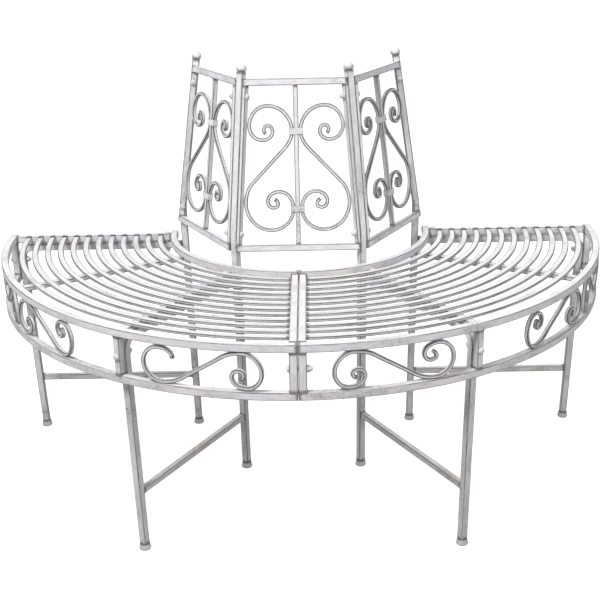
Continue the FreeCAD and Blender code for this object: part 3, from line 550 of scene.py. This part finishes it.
def arc_points(start, direction, end, spacing):
    """Points along the arc that leaves start along direction and reaches end."""
    chord = end - start
    turn = math.atan2(direction.cross(chord), direction.dot(chord))
    steps = max(2, round(chord.length / spacing))
    points = []
    for index in range(steps + 1):
        part = index / steps
        if abs(turn) < STRAIGHT:
            points.append(start + chord * part)
            continue
        reach = chord.length * math.sin(turn * part) / math.sin(turn)
        heading = math.atan2(direction.y, direction.x) + turn * part
        points.append(start + Vector((math.cos(heading), math.sin(heading))) * reach)
    return points


def flowing(marks, spacing=2.0):
    """Points along smooth pairs of arcs through marks: across, up and heading in degrees."""
    points = []
    for (x0, y0, heading0), (x1, y1, heading1) in zip(marks, marks[1:]):
        start, end = Vector((x0, y0)), Vector((x1, y1))
        into = Vector((math.cos(math.radians(heading0)), math.sin(math.radians(heading0))))
        out = Vector((math.cos(math.radians(heading1)), math.sin(math.radians(heading1))))
        chord = end - start
        openness = 2 * (1 - into.dot(out))
        reach = 2 * chord.dot(into + out)
        if openness < TINY:
            handle = chord.dot(chord) / reach
        else:
            handle = (math.sqrt(reach * reach + 4 * openness * chord.dot(chord)) - reach) / (2 * openness)
        middle = (start + into * handle + end - out * handle) / 2
        there = arc_points(start, into, middle, spacing)
        back = arc_points(end, -out, middle, spacing)
        points += there[:-1] + back[:0:-1]
    return [*points, Vector(marks[-1][:2])]


def mirrored_marks(marks):
    """The same run seen in a mirror that swaps left and right."""
    return [(-across, up, 180 - heading) for across, up, heading in marks]


# A scroll's section is in millimetres, as its marks are
SCROLL_WIDTH = 7
SCROLL_DEPTH = 8
SCROLL_CORNER = 2.2
SCROLL_STEP = 3 * MM
SCROLL_UNEVEN = 0.3 * MM


def scroll_bars(runs):
    """Scrolls along marks in millimetres, each given with the place of its plane."""
    placed = []
    for place, marks in runs:
        points = [place @ Vector((point.x * MM, point.y * MM, 0)) for point in flowing(marks)]
        placed.append((points, place.to_3x3() @ UP))
    return make_bars("scroll_paint", placed, SCROLL_DEPTH * MM, SCROLL_WIDTH * MM, SCROLL_CORNER * MM,
                     SCROLL_STEP, SCROLL_UNEVEN)


# Seat and apron

def ring_angle(side, reach, seam):
    """Where a ring at a distance from the tree starts beside the seam."""
    return SEAM_ANGLE + side * math.degrees(math.asin(seam / reach))


def end_angle(side, reach, past):
    """Where such a ring ends, a little past the line through the tree or short of it."""
    return SEAM_ANGLE + side * (90 + math.degrees(math.asin(past / reach)))


def upright_plane(turn, reach):
    """A vertical plane at a distance from the tree, facing outwards, with its own X level."""
    outwards = polar(turn, 1, 0)
    level = UP.cross(outwards)
    place = Matrix((level, UP, outwards)).transposed().to_4x4()
    place.translation = outwards * reach
    return place


RAIL_MIDDLE = SEAT_REACH - HALF_TUBE
INNER_MIDDLE = INNER_OUTSIDE - HALF_TUBE
TUBE_LOW = SEAT_TOP - TUBE
BAR_MIDDLE = SEAT_TOP - HALF_TUBE
APRON_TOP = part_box("apron_rail_right")[1].z
SEAM_BAR_MIDDLE = HALF_SEAM + HALF_TUBE
LEG_UPRIGHT = 12 * MM
STRAP_WIDTH = 16 * MM
STRAP_THICKNESS = 8 * MM
STRAP_CORNER = 1 * MM
SLATS = 12
FIRST_SLAT = 22 * MM
SLAT_PITCH = 25.3 * MM
SLAT_WIDTH = 12 * MM
SLAT_THICKNESS = 5 * MM
SLAT_CORNER = 1.4 * MM
SLAT_SUNK = 1 * MM
SLAT_MIDDLE = SEAT_TOP - SLAT_SUNK - SLAT_THICKNESS / 2
SLAT_STRAY = 0.35 * MM

stray = random.Random(7)


def make_rails(side_name, side):
    for label, reach, top in (
        ("seat_outer_rail_", RAIL_MIDDLE, SEAT_TOP),
        ("seat_inner_rail_", INNER_MIDDLE, INNER_TOP),
        ("apron_rail_", RAIL_MIDDLE, APRON_TOP),
    ):
        start = ring_angle(side, reach, HALF_SEAM)
        end = end_angle(side, reach, HALF_TUBE)
        rail = tube_bars([(arc(start, end, reach, top - HALF_TUBE), UP)])
        finish_piece(label + side_name, "frame_paint", rail)


def make_cross_bars(side_name, side):
    seam_x = side * SEAM_BAR_MIDDLE
    seam = [Vector((seam_x, -reach, BAR_MIDDLE)) for reach in (INNER_OUTSIDE, OUTER_INSIDE)]
    welds = make_welds([(point, Vector((0, -1, 0)), UP) for point in seam])
    finish_piece("seam_bar_" + side_name, "frame_paint", tube_bars([(seam, UP)]), welds)
    end = [polar(SEAM_ANGLE + side * 90, reach, BAR_MIDDLE) for reach in (INNER_OUTSIDE, OUTER_INSIDE)]
    welds = make_welds([(point, Vector((side, 0, 0)), UP) for point in end])
    finish_piece("end_bar_" + side_name, "frame_paint", tube_bars([(end, UP)]), welds)
    straps = []
    for third in (1, 2):
        turn = SEAM_ANGLE + side * HALF_BAY * third
        middle = TUBE_LOW + STRAP_THICKNESS / 2
        straps.append(([polar(turn, INNER_OUTSIDE, middle), polar(turn, OUTER_INSIDE, middle)], UP))
    finish_piece("seat_straps_" + side_name, "slat_paint",
                 make_bars("slat_paint", straps, STRAP_THICKNESS, STRAP_WIDTH, STRAP_CORNER))


# A slat's pointed weld, from the end bar's inner edge
TIP_BACK = 1 * MM
TIP_SHOULDER = 1.5 * MM
TIP_CREST = 2 * MM
TIP_LENGTH = 8 * MM
TIP_BLUNT = 1 * MM
TIP_RISE = 1 * MM
TIP_CREST_RISE = 1.5 * MM
TIP_TAPER = 0.9


def slat_tip():
    """The pointed weld with which a slat's end runs out over the end bar. Its outline counts as an edge, so
    all but its crest is painted dark: painted shade where the slat ends over the end bar.
    """
    half = SLAT_WIDTH / 2
    flank = ((half, -TIP_BACK), (half * TIP_TAPER, TIP_SHOULDER), (TIP_BLUNT, TIP_LENGTH))
    outline = [*flank, *((-x, y) for x, y in reversed(flank))]
    count = len(outline)
    points = [Vector((x, y - HALF_TUBE, -TIP_RISE)) for x, y in outline]
    points += [Vector((x * TIP_TAPER, y - HALF_TUBE, TIP_RISE)) for x, y in outline]
    points.append(Vector((0, TIP_CREST - HALF_TUBE, TIP_CREST_RISE)))
    faces = [list(range(count))[::-1]]
    # Edge distances of 0 round the outline paint the weld dark: painted shade over the end bar
    edges = [0.0] * (2 * count) + [2 * TIP_CREST_RISE]
    for index in range(count):
        following = (index + 1) % count
        faces.append([index, following, count + following, count + index])
        faces.append([count + index, count + following, 2 * count])
    return add_mesh("slat_tip", points, faces=faces, bar_place=[Vector((0, 0, 0))] * len(points),
                    bar_half=[Vector((edge, 0, 0)) for edge in edges], bar_end=[1.0] * len(points))


def make_slats(side_name, side):
    """Curved flat slats between seam bar and end bar, none quite level, with their pointed ends."""
    runs, ends = [], []
    for number in range(SLATS):
        reach = INNER_OUTSIDE + FIRST_SLAT + SLAT_PITCH * number
        height = SLAT_MIDDLE + stray.uniform(-SLAT_STRAY, SLAT_STRAY)
        start = ring_angle(side, reach, 2 * SEAM_BAR_MIDDLE - HALF_SEAM)
        runs.append((arc(start, end_angle(side, reach, -HALF_TUBE), reach, height), UP))
        ends.append((Vector((side * reach, 0, SEAT_TOP)), UP))
    slats = make_bars("slat_paint", runs, SLAT_THICKNESS, SLAT_WIDTH, SLAT_CORNER)
    tips = make_copies(slat_tip(), "slat_paint", ends)
    finish_piece("seat_slats_" + side_name, "slat_paint", slats, tips)


def make_uprights(side_name, side):
    """The short tubes between the outer rail and the apron rail, at seam, leg and end."""
    def upright(spot, facing):
        return [spot + UP * APRON_TOP, spot + UP * TUBE_LOW], facing

    leg = polar(SEAM_ANGLE + side * HALF_BAY, 1, 0)
    end = polar(SEAM_ANGLE + side * 90, 1, 0)
    seam = Vector((side * SEAM_BAR_MIDDLE, -RAIL_MIDDLE, 0))
    square = tube_bars([upright(end * RAIL_MIDDLE, end), upright(seam, Vector((0, 1, 0)))])
    narrow = tube_bars([upright(leg * RAIL_MIDDLE, leg)], TUBE, LEG_UPRIGHT)
    heights = (APRON_TOP, TUBE_LOW)
    wide_welds = make_welds([(spot + UP * height, UP, Vector((0, 1, 0)))
                             for spot in (end * RAIL_MIDDLE, seam) for height in heights])
    narrow_welds = make_welds([(leg * RAIL_MIDDLE + UP * height, UP, leg) for height in heights],
                              half_depth=LEG_UPRIGHT / 2)
    finish_piece("apron_uprights_" + side_name, "frame_paint", square, narrow, wide_welds, narrow_welds)


SCROLL_INSET = 2.9 * MM
SCROLL_REACH = RAIL_MIDDLE - SCROLL_INSET
# In millimetres, as the marks are: the middle between the rails, and how far from it a scroll touches them
APRON_MIDDLE = (APRON_TOP + TUBE_LOW) / 2 / MM
SCROLL_TOUCH = (TUBE_LOW - APRON_TOP) / 2 / MM - SCROLL_WIDTH / 2

# Where the scrolls stand, in degrees from the seam, and how much shorter the side ones are
FRONT_SCROLL_ANGLE = 15.2
SIDE_SCROLL_ANGLES = {-1: 49.4, 1: 69.6}
SIDE_SCROLL_STRETCH = 0.93

# Half of an S, from its middle outwards: across, height over the middle, heading
HALF_APRON_SCROLL = (
    (0, 0, -31),
    (70, -SCROLL_TOUCH, 0),
    (103, 1.5, 90),
    (76, 30, 180),
    (51, 12, 270),
    (62.5, 0, 360),
    (72.5, 6.5, 450),
    (66, 14.5, 525),
)
OPEN_HOOK_MARKS = 5


def apron_marks(hand, stretch=1, open_hook=False):
    """The whole S: a half and the same half turned about the middle, stretched sideways."""
    outward = HALF_APRON_SCROLL[:OPEN_HOOK_MARKS] if open_hook else HALF_APRON_SCROLL
    inward = [(-across, -up, heading) for across, up, heading in reversed(HALF_APRON_SCROLL[1:])]
    marks = [(across * stretch, up + APRON_MIDDLE, heading) for across, up, heading in [*inward, *outward]]
    return marks if hand > 0 else mirrored_marks(marks)


def make_apron_scrolls(side_name, side):
    front = upright_plane(SEAM_ANGLE + side * FRONT_SCROLL_ANGLE, SCROLL_REACH)
    finish_piece("front_scroll_" + side_name, "scroll_paint",
                 scroll_bars([(front, apron_marks(side, open_hook=side < 0))]))
    runs = []
    for hand, turn in SIDE_SCROLL_ANGLES.items():
        place = upright_plane(SEAM_ANGLE + side * turn, SCROLL_REACH)
        runs.append((place, apron_marks(hand * side, SIDE_SCROLL_STRETCH)))
    finish_piece("side_scrolls_" + side_name, "scroll_paint", scroll_bars(runs))


for side_name, side in SIDES.items():
    make_rails(side_name, side)
    make_cross_bars(side_name, side)
    make_slats(side_name, side)
    make_uprights(side_name, side)
    make_apron_scrolls(side_name, side)


# Leg frames, from distances out of the tree's middle and heights over the ground

FOOT_HEIGHT = 12 * MM
FRONT_FOOT = 579.3 * MM
FRONT_KNEE = 590.9 * MM
KNEE_BEND = 23 * MM
REAR_FOOT = 236.2 * MM
BEND_REACH = 243 * MM
BEND_HEIGHT = 505 * MM
REAR_BEND = 90 * MM
POST_TOP_REACH = 198.7 * MM
POST_TOP = 809 * MM
BRACE = 12 * MM
BRACE_HEIGHT = 119.7 * MM
SPACER_HEIGHT = 3 * MM
UPPER_BRACE_HEIGHT = TUBE_LOW - SPACER_HEIGHT - HALF_TUBE
POST_SLOPE = (BEND_REACH - POST_TOP_REACH) / (POST_TOP - BEND_HEIGHT)
POST_RAKE = math.atan(POST_SLOPE)


def front_leg_reach(height):
    lean = (FRONT_KNEE - FRONT_FOOT) / (UPPER_BRACE_HEIGHT - FOOT_HEIGHT)
    return FRONT_FOOT + (height - FOOT_HEIGHT) * lean


def rear_leg_reach(height):
    lean = (BEND_REACH - REAR_FOOT) / (BEND_HEIGHT - FOOT_HEIGHT)
    return REAR_FOOT + (height - FOOT_HEIGHT) * lean


def post_reach(height):
    return BEND_REACH - (height - BEND_HEIGHT) * POST_SLOPE


def post_axis(turn):
    """The direction in which a post rises over the seat."""
    return UP * math.cos(POST_RAKE) - polar(turn, 1, 0) * math.sin(POST_RAKE)


def make_leg_frame(name, turn):
    beside = polar(turn + 90, 1, 0)
    rear_face = rear_leg_reach(UPPER_BRACE_HEIGHT) + HALF_TUBE
    leg = bent(polar(turn, FRONT_FOOT, FOOT_HEIGHT), polar(turn, FRONT_KNEE, UPPER_BRACE_HEIGHT),
               polar(turn, rear_face, UPPER_BRACE_HEIGHT), KNEE_BEND)
    outwards = polar(turn, 1, 0)
    finish_piece("front_leg_" + name, "frame_paint", tube_bars([(leg, beside)]),
                 make_welds([(leg[-1], outwards, UP)]))
    post = bent(polar(turn, REAR_FOOT, FOOT_HEIGHT), polar(turn, BEND_REACH, BEND_HEIGHT),
                polar(turn, POST_TOP_REACH, POST_TOP), REAR_BEND)
    finish_piece("back_post_" + name, "frame_paint", tube_bars([(post, beside)]))
    start = rear_leg_reach(BRACE_HEIGHT) + HALF_TUBE
    end = front_leg_reach(BRACE_HEIGHT) - HALF_TUBE
    brace = [polar(turn, start, BRACE_HEIGHT), polar(turn, end, BRACE_HEIGHT)]
    welds = make_welds([(point, outwards, UP) for point in brace], BRACE / 2, BRACE / 2)
    finish_piece("lower_brace_" + name, "frame_paint", tube_bars([(brace, beside)], BRACE), welds)


def foot_cap():
    """A flared round cap, scuffed all round, with a dark line where the leg goes into it."""
    worn = 1.7 * MM
    return turned("foot_cap", (
        (0, 0, 0),
        (0, 7.6, 0),
        (0.9, 9.9, worn),
        (3, 11, worn),
        (4.6, 10.7, worn),
        (7.2, 9.9, worn),
        (10.6, 9.3, worn),
        (11.6, 9.1, 0),
        (12, 8.2, 0),
        (12, 0, 0),
    ))


def finial():
    """A ball that stands in the end of a post, with its neck painted dark as the shadow under the ball and
    the ball painted darker towards its underside as painted shade.
    """
    radius, rise = 9.6, 6
    neck, neck_top, ball_start = 6.4, 0.7, 0.9
    # The neck's edge distance of 0 paints it dark: a painted shadow under the ball
    levels = [(0, 0, 0), (0, neck, 0), (neck_top, neck, 0)]
    start = math.asin((ball_start - rise) / radius)
    steps = 12
    for index in range(steps + 1):
        turn = start + (math.pi / 2 - start) * index / steps
        reach = radius * math.cos(turn) if index < steps else 0
        # Painted shade: the edge distance grows up the ball, so its lower half is painted darker
        edge = (1.0 + 3.0 * index / steps) * MM
        levels.append((rise + radius * math.sin(turn), reach, edge))
    return turned("finial", levels)


for name, turn in FRAME_ANGLES.items():
    make_leg_frame(name, turn)
feet = [(polar(turn, reach, 0), UP) for turn in FRAME_ANGLES.values() for reach in (FRONT_FOOT, REAR_FOOT)]
finish_piece("foot_caps", "frame_paint", make_copies(foot_cap(), "frame_paint", feet))
tops = [(polar(turn, POST_TOP_REACH, POST_TOP), post_axis(turn)) for turn in FRAME_ANGLES.values()]
finish_piece("post_finials", "frame_paint", make_copies(finial(), "frame_paint", tops))


# Back panels, drawn in their own plane: X across, Y up the panel, Z outwards

PANEL_RAKE = math.atan(POST_SLOPE * math.cos(math.radians(HALF_BAY)))
PANEL_OFFSET = 3.5 * MM
PANEL_FOOT = 487.2 * MM
OPENING = 299.4 * MM
PANEL_RAIL = 12.5 * MM
RAIL_CORNER = 1.6 * MM
# A rail's bar is made to just short of the post's middle line, then cut a small gap away from the post
RAIL_SHORT = 3 * MM
RAIL_GAP = 0.3 * MM
STILE = 7 * MM
STILE_CORNER = 1.2 * MM
STILE_GAP = 0.2 * MM
STILE_INTO_RAIL = 0.6 * MM
PANEL_DEPTH = 12 * MM
PANEL_BAR = 9 * MM
STILE_START = HALF_TUBE + STILE_GAP
STILE_END = STILE_START + STILE
# Up the panel in millimetres, as the scrolls' marks are
UPPER_COLLAR = 215
LOWER_COLLAR = 68.9


def panel_place(turn):
    """The place of a panel's plane in front of the chord between two posts."""
    reach = BEND_REACH * math.cos(math.radians(HALF_BAY))
    reach += (BEND_HEIGHT - PANEL_FOOT) * math.tan(PANEL_RAKE) + PANEL_OFFSET / math.cos(PANEL_RAKE)
    upright = Matrix.Translation((0, -reach, PANEL_FOOT)) @ Matrix.Rotation(math.pi / 2 - PANEL_RAKE, 4, "X")
    return Matrix.Rotation(math.radians(turn), 4, "Z") @ upright


CENTRE_POST = FRAME_ANGLES["right_front"]
POST_SIDE = polar(CENTRE_POST, 1, 0).cross(UP)


def beside_post(across, out, height):
    """A point beside the centre panel's right post, at a height in the panel. It lies across from
    the post's middle line towards the panel, and out from it away from the tree."""
    outwards = polar(CENTRE_POST, 1, 0)
    beyond = outwards * math.cos(POST_RAKE) + UP * math.sin(POST_RAKE)
    into_panel = panel_place(0).inverted()
    bend = polar(CENTRE_POST, BEND_REACH, BEND_HEIGHT)
    point = into_panel @ (bend + POST_SIDE * across + beyond * out)
    heading = into_panel.to_3x3() @ post_axis(CENTRE_POST)
    return point + heading * ((height - point.y) / heading.y)


def mirrored(point, side):
    return Vector((point.x * side, point.y, point.z))


def make_panel_rail(node, turn, middle):
    """A level bar of a panel, with its ends cut along the sides of the posts."""
    place = panel_place(turn)
    reach = beside_post(0, 0, middle).x - RAIL_SHORT
    ends = [place @ Vector((side * reach, middle, 0)) for side in (-1, 1)]
    up = place.to_3x3() @ Vector((0, 1, 0))
    rail = make_bars("frame_paint", [(ends, up)], PANEL_RAIL, PANEL_DEPTH, RAIL_CORNER)
    around = Matrix.Rotation(math.radians(turn), 3, "Z")
    for side in (-1, 1):
        inwards = mirrored(POST_SIDE, side)
        cut_end(rail, around @ inwards * (HALF_TUBE + RAIL_GAP), around @ -inwards)
    finish_piece(node, "frame_paint", rail)


def make_stile(node, turn, side):
    """A flat bar that lies along the side of a post."""
    place = panel_place(turn)
    middle = (STILE_START + STILE_END) / 2
    heights = (-STILE_INTO_RAIL, OPENING + STILE_INTO_RAIL)
    ends = [place @ mirrored(beside_post(middle, 0, height), side) for height in heights]
    facing = Matrix.Rotation(math.radians(turn), 3, "Z") @ mirrored(POST_SIDE, side)
    finish_piece(node, "frame_paint",
                 make_bars("frame_paint", [(ends, facing)], STILE, PANEL_DEPTH, STILE_CORNER))


def make_centre_bar(node, turn):
    place = panel_place(turn)
    ends = [place @ Vector((0, height, 0)) for height in (0, OPENING)]
    facing = place.to_3x3() @ UP
    finish_piece(node, "frame_paint",
                 make_bars("frame_paint", [(ends, facing)], PANEL_BAR, PANEL_BAR, RAIL_CORNER))


TAIL = PANEL_BAR / MM / 2 + SCROLL_WIDTH / 2
SCROLL_GAP = 0.2


def touch_stile(height):
    """Where a scroll's middle line runs when the scroll leans on the stile's inner edge."""
    edge = beside_post(STILE_END, -PANEL_DEPTH / 2, height * MM).x / MM
    return edge - SCROLL_WIDTH / 2 - SCROLL_GAP


# Right-hand scrolls of a panel: across from the middle bar, up the panel, heading
UPPER_SCROLL = (
    (TAIL, UPPER_COLLAR, 90),
    (53, 262.3, 0),
    (touch_stile(224.3), 224.3, -90),
    (63, 198.9, -180),
    (44, 214.8, -270),
    (53.5, 226.1, -360),
    (60.7, 217, -450),
    (57, 211, -510),
)
LOWER_SCROLL = (
    (TAIL, UPPER_COLLAR, -90),
    (24, 181.3, -46.4),
    (84, 118.4, -46.4),
    (touch_stile(78.3), 78.3, -90),
    (49.5, 28, -180),
    (TAIL, LOWER_COLLAR, -270),
    (34.5, 101.6, -360),
    (56.5, 83, -450),
    (46, 70.9, -540),
    (37, 76.9, -630),
    (43, 87, -690),
)


def collar():
    """A flat band round the middle bar and its two scrolls, with a fine groove along each rim."""
    half_height, wall, corner, slack = 6 * MM, 1.2 * MM, 1 * MM, 0.2 * MM
    half_bore = PANEL_BAR / 2 + slack
    outer = half_bore + wall
    stretch = SCROLL_WIDTH * MM + 2 * slack

    def outline(radius, turn):
        turn += math.pi / SECTION_POINTS
        spot = Vector((math.cos(turn), math.sin(turn)))
        core = radius - corner
        return (math.copysign(core + stretch, spot.x) + spot.x * corner,
                math.copysign(core, spot.y) + spot.y * corner)

    # Height over the rim, how far the band is cut back there, and its distance from an edge
    rim = (
        (0, wall, 0),
        (0, 0.3 * MM, 0),
        (0.4 * MM, 0, OPEN_FACE),
        (1.8 * MM, 0, OPEN_FACE),
        (2.2 * MM, 0.5 * MM, 0),
        (2.6 * MM, 0.1 * MM, OPEN_FACE),
    )
    lower = [(rise - half_height, outer - cut, edge) for rise, cut, edge in rim]
    upper = [(half_height - rise, outer - cut, edge) for rise, cut, edge in reversed(rim)]
    return loft("collar", [*lower, *upper, lower[0]], SECTION_POINTS, outline)


def make_collars():
    """One pair of bands for each panel, turned to stand along its middle bar."""
    bands = []
    for turn in PANEL_ANGLES.values():
        for height in (LOWER_COLLAR, UPPER_COLLAR):
            band = collar()
            band.data.transform(panel_place(turn) @ Matrix.Translation((0, height * MM, 0))
                                @ Matrix.Rotation(-math.pi / 2, 4, "X"))
            band.data.materials.append(PAINTS["scroll_paint"])
            bands.append(band)
    finish_piece("scroll_collars", "scroll_paint", *bands)


for panel_name, turn in PANEL_ANGLES.items():
    prefix = panel_name + "_panel_"
    make_panel_rail(prefix + "top_rail", turn, OPENING + PANEL_RAIL / 2)
    make_panel_rail(prefix + "bottom_rail", turn, -PANEL_RAIL / 2)
    make_centre_bar(prefix + "center_bar", turn)
    for side_name, side in SIDES.items():
        make_stile(prefix + side_name + "_stile", turn, side)
        scrolls = [(panel_place(turn), marks if side > 0 else mirrored_marks(marks))
                   for marks in (UPPER_SCROLL, LOWER_SCROLL)]
        finish_piece(prefix + side_name + "_scrolls", "scroll_paint", scroll_bars(scrolls))
make_collars()


# Fasteners

SEAT_BOLT_REACH = 280.5 * MM
LEG_BOLT_HEIGHT = 395 * MM
SEAM_BOLT_HEIGHT = 402 * MM
PANEL_BOLTS = (764 * MM, 508 * MM)

# Heights and radii in millimetres
SHANK = 3
SHANK_LENGTH = 27
HEAD = 6
HEAD_RIM = 1.4
HEAD_TOP = 4.6
NUT_FLAT = 5.35
NUT_MOUTH = 5.0
NUT_CHAMFER = 0.5
NUT_SHOULDER = 4.9
CAP = 4.8
CAP_RIM = 5.1
CAP_TOP = 10


def bolt():
    """A domed bolt that stands on its head's seat."""
    levels = [
        (-SHANK_LENGTH, 0, 0),
        (-SHANK_LENGTH, SHANK, 0),
        (0, SHANK, 0),
        (0, HEAD, 0),
        (HEAD_RIM, HEAD, OPEN_FACE),
    ]
    return turned("bolt", levels + dome(HEAD_RIM, HEAD_TOP, HEAD)[1:])


def cap_nut():
    """A six-sided nut with a domed cap, which stands on its open end."""
    def outline(radius, turn):
        flat = (turn + math.pi / 6) % (math.pi / 3) - math.pi / 6
        bulge = 1 / math.cos(flat) if radius > NUT_MOUTH * MM else 1
        return radius * bulge * math.cos(turn), radius * bulge * math.sin(turn)

    levels = [
        (0, SHANK, 0),
        (0, NUT_MOUTH, 0),
        (NUT_CHAMFER, NUT_FLAT, OPEN_FACE),
        (NUT_SHOULDER - NUT_CHAMFER, NUT_FLAT, OPEN_FACE),
        (NUT_SHOULDER, NUT_SHOULDER, 0),
        (CAP_RIM, CAP, 0),
    ]
    return turned("cap_nut", levels + dome(CAP_RIM, CAP_TOP, CAP)[1:], sides=36, outline=outline)


def spacer():
    """A plain ring, a little fuller between its rims."""
    top, rim, bulge = SPACER_HEIGHT / MM, 0.3, 0.2
    return turned("spacer", (
        (0, SHANK, 0),
        (0, HEAD, 0),
        (rim, HEAD + bulge, OPEN_FACE),
        (top - rim, HEAD + bulge, OPEN_FACE),
        (top, HEAD, 0),
        (top, SHANK, 0),
        (0, SHANK, 0),
    ))


def make_fasteners():
    frame_bolts, panel_bolts, nuts, spacers = [], [], [], []
    for name, turn in FRAME_ANGLES.items():
        outwards = polar(turn, 1, 0)
        spot = outwards * SEAT_BOLT_REACH
        seat = SEAT_TOP if name.endswith("end") else TUBE_LOW + STRAP_THICKNESS
        frame_bolts.append((spot + UP * seat, UP))
        spacers.append((spot + UP * (UPPER_BRACE_HEIGHT + HALF_TUBE), UP))
        nuts.append((spot + UP * (UPPER_BRACE_HEIGHT - HALF_TUBE), -UP))
        frame_bolts.append((outwards * SEAT_REACH + UP * LEG_BOLT_HEIGHT, outwards))
        inner = front_leg_reach(LEG_BOLT_HEIGHT) - HALF_TUBE
        nuts.append((outwards * inner + UP * LEG_BOLT_HEIGHT, -outwards))
        beside = UP.cross(outwards)
        for height in PANEL_BOLTS:
            middle = outwards * post_reach(height) + UP * height
            head = HALF_TUBE if name == "right_end" else STILE_END
            tail = HALF_TUBE if name == "left_end" else STILE_END
            panel_bolts.append((middle + beside * head, beside))
            nuts.append((middle - beside * tail, -beside))
    across = Vector((1, 0, 0))
    seam = Vector((0, -RAIL_MIDDLE, SEAM_BOLT_HEIGHT))
    frame_bolts.append((seam - across * (HALF_SEAM + TUBE), -across))
    nuts.append((seam + across * (HALF_SEAM + TUBE), across))
    finish_piece("frame_bolts", "fastener_paint", make_copies(bolt(), "fastener_paint", frame_bolts))
    finish_piece("panel_bolts", "fastener_paint", make_copies(bolt(), "fastener_paint", panel_bolts))
    finish_piece("cap_nuts", "fastener_paint", make_copies(cap_nut(), "fastener_paint", nuts))
    finish_piece("seat_spacers", "fastener_paint", make_copies(spacer(), "fastener_paint", spacers))


make_fasteners()


# Studio

FLOOR_SHADE = 0.35
FLOOR_ROUGHNESS = 0.9
FLOOR_GLOW = 0.88
FLOOR_REACH = 30
SKY_LIGHT = 0.3


def make_floor():
    material = bpy.data.materials.new("studio_floor")
    material.use_nodes = True
    draw = NodeDrawing(material.node_tree)
    rays = draw.node("ShaderNodeLightPath")
    shader = draw.node("ShaderNodeBsdfPrincipled", {}, {
        "Base Color": colour(FLOOR_SHADE, FLOOR_SHADE, FLOOR_SHADE), "Roughness": FLOOR_ROUGHNESS,
        "Emission Color": colour(1, 1, 1), "Emission Strength": rays.output("Is Camera Ray") * FLOOR_GLOW})
    draw.node("ShaderNodeOutputMaterial", {}, {"Surface": shader})
    mesh = bpy.data.meshes.new("studio_floor")
    corners = [(x * FLOOR_REACH, y * FLOOR_REACH, 0) for x, y in ((-1, -1), (1, -1), (1, 1), (-1, 1))]
    mesh.from_pydata(corners, [], [(0, 1, 2, 3)])
    mesh.materials.append(material)
    floor = bpy.data.objects.new("studio_floor", mesh)
    bpy.context.scene.collection.objects.link(floor)


def make_world():
    world = bpy.data.worlds.new("studio")
    bpy.context.scene.world = world
    world.use_nodes = True
    draw = NodeDrawing(world.node_tree)
    rays = draw.node("ShaderNodeLightPath")
    seen = draw.math("MAXIMUM", rays.output("Is Camera Ray"), rays.output("Is Glossy Ray"))
    strength = seen * (1 - SKY_LIGHT) + SKY_LIGHT
    back = draw.node("ShaderNodeBackground", {}, {"Color": colour(1, 1, 1), "Strength": strength})
    draw.node("ShaderNodeOutputWorld", {}, {"Surface": back})


def add_lamp(name, place, aim, size, power):
    lamp = bpy.data.lights.new(name, "AREA")
    lamp.shape = "DISK"
    lamp.size = size
    lamp.energy = power
    holder = bpy.data.objects.new(name, lamp)
    holder.location = place
    holder.rotation_euler = (Vector(aim) - Vector(place)).to_track_quat("-Z", "Y").to_euler()
    bpy.context.scene.collection.objects.link(holder)


def make_camera():
    """The photograph's viewpoint, found from the circles of the seat, the feet and the posts."""
    place = Vector((0.0294, -2.2430, 1.1452))
    yaw, pitch, roll = -0.0144, 0.3642, -0.0232
    forward = Vector((math.sin(yaw) * math.cos(pitch), math.cos(yaw) * math.cos(pitch), -math.sin(pitch)))
    level = Vector((math.cos(yaw), -math.sin(yaw), 0))
    turn = Matrix((level, level.cross(forward), -forward)).transposed() @ Matrix.Rotation(roll, 3, "Z")
    data = bpy.data.cameras.new("photo_view")
    data.sensor_width = 36
    data.lens = 66.73
    camera = bpy.data.objects.new("photo_view", data)
    camera.matrix_world = Matrix.Translation(place) @ turn.to_4x4()
    bpy.context.scene.collection.objects.link(camera)
    bpy.context.scene.camera = camera


make_floor()
make_world()
add_lamp("key", place=(-1.4, -1.9, 3.4), aim=(0, -0.2, 0.3), size=1.2, power=118)
add_lamp("fill", place=(2.4, -2.4, 2.2), aim=(0, -0.2, 0.5), size=2.0, power=38)
add_lamp("rear", place=(0.6, 2.8, 1.5), aim=(0, -0.2, 0.5), size=2.0, power=16)
make_camera()

view = bpy.context.scene.view_settings
view.view_transform = "Standard"
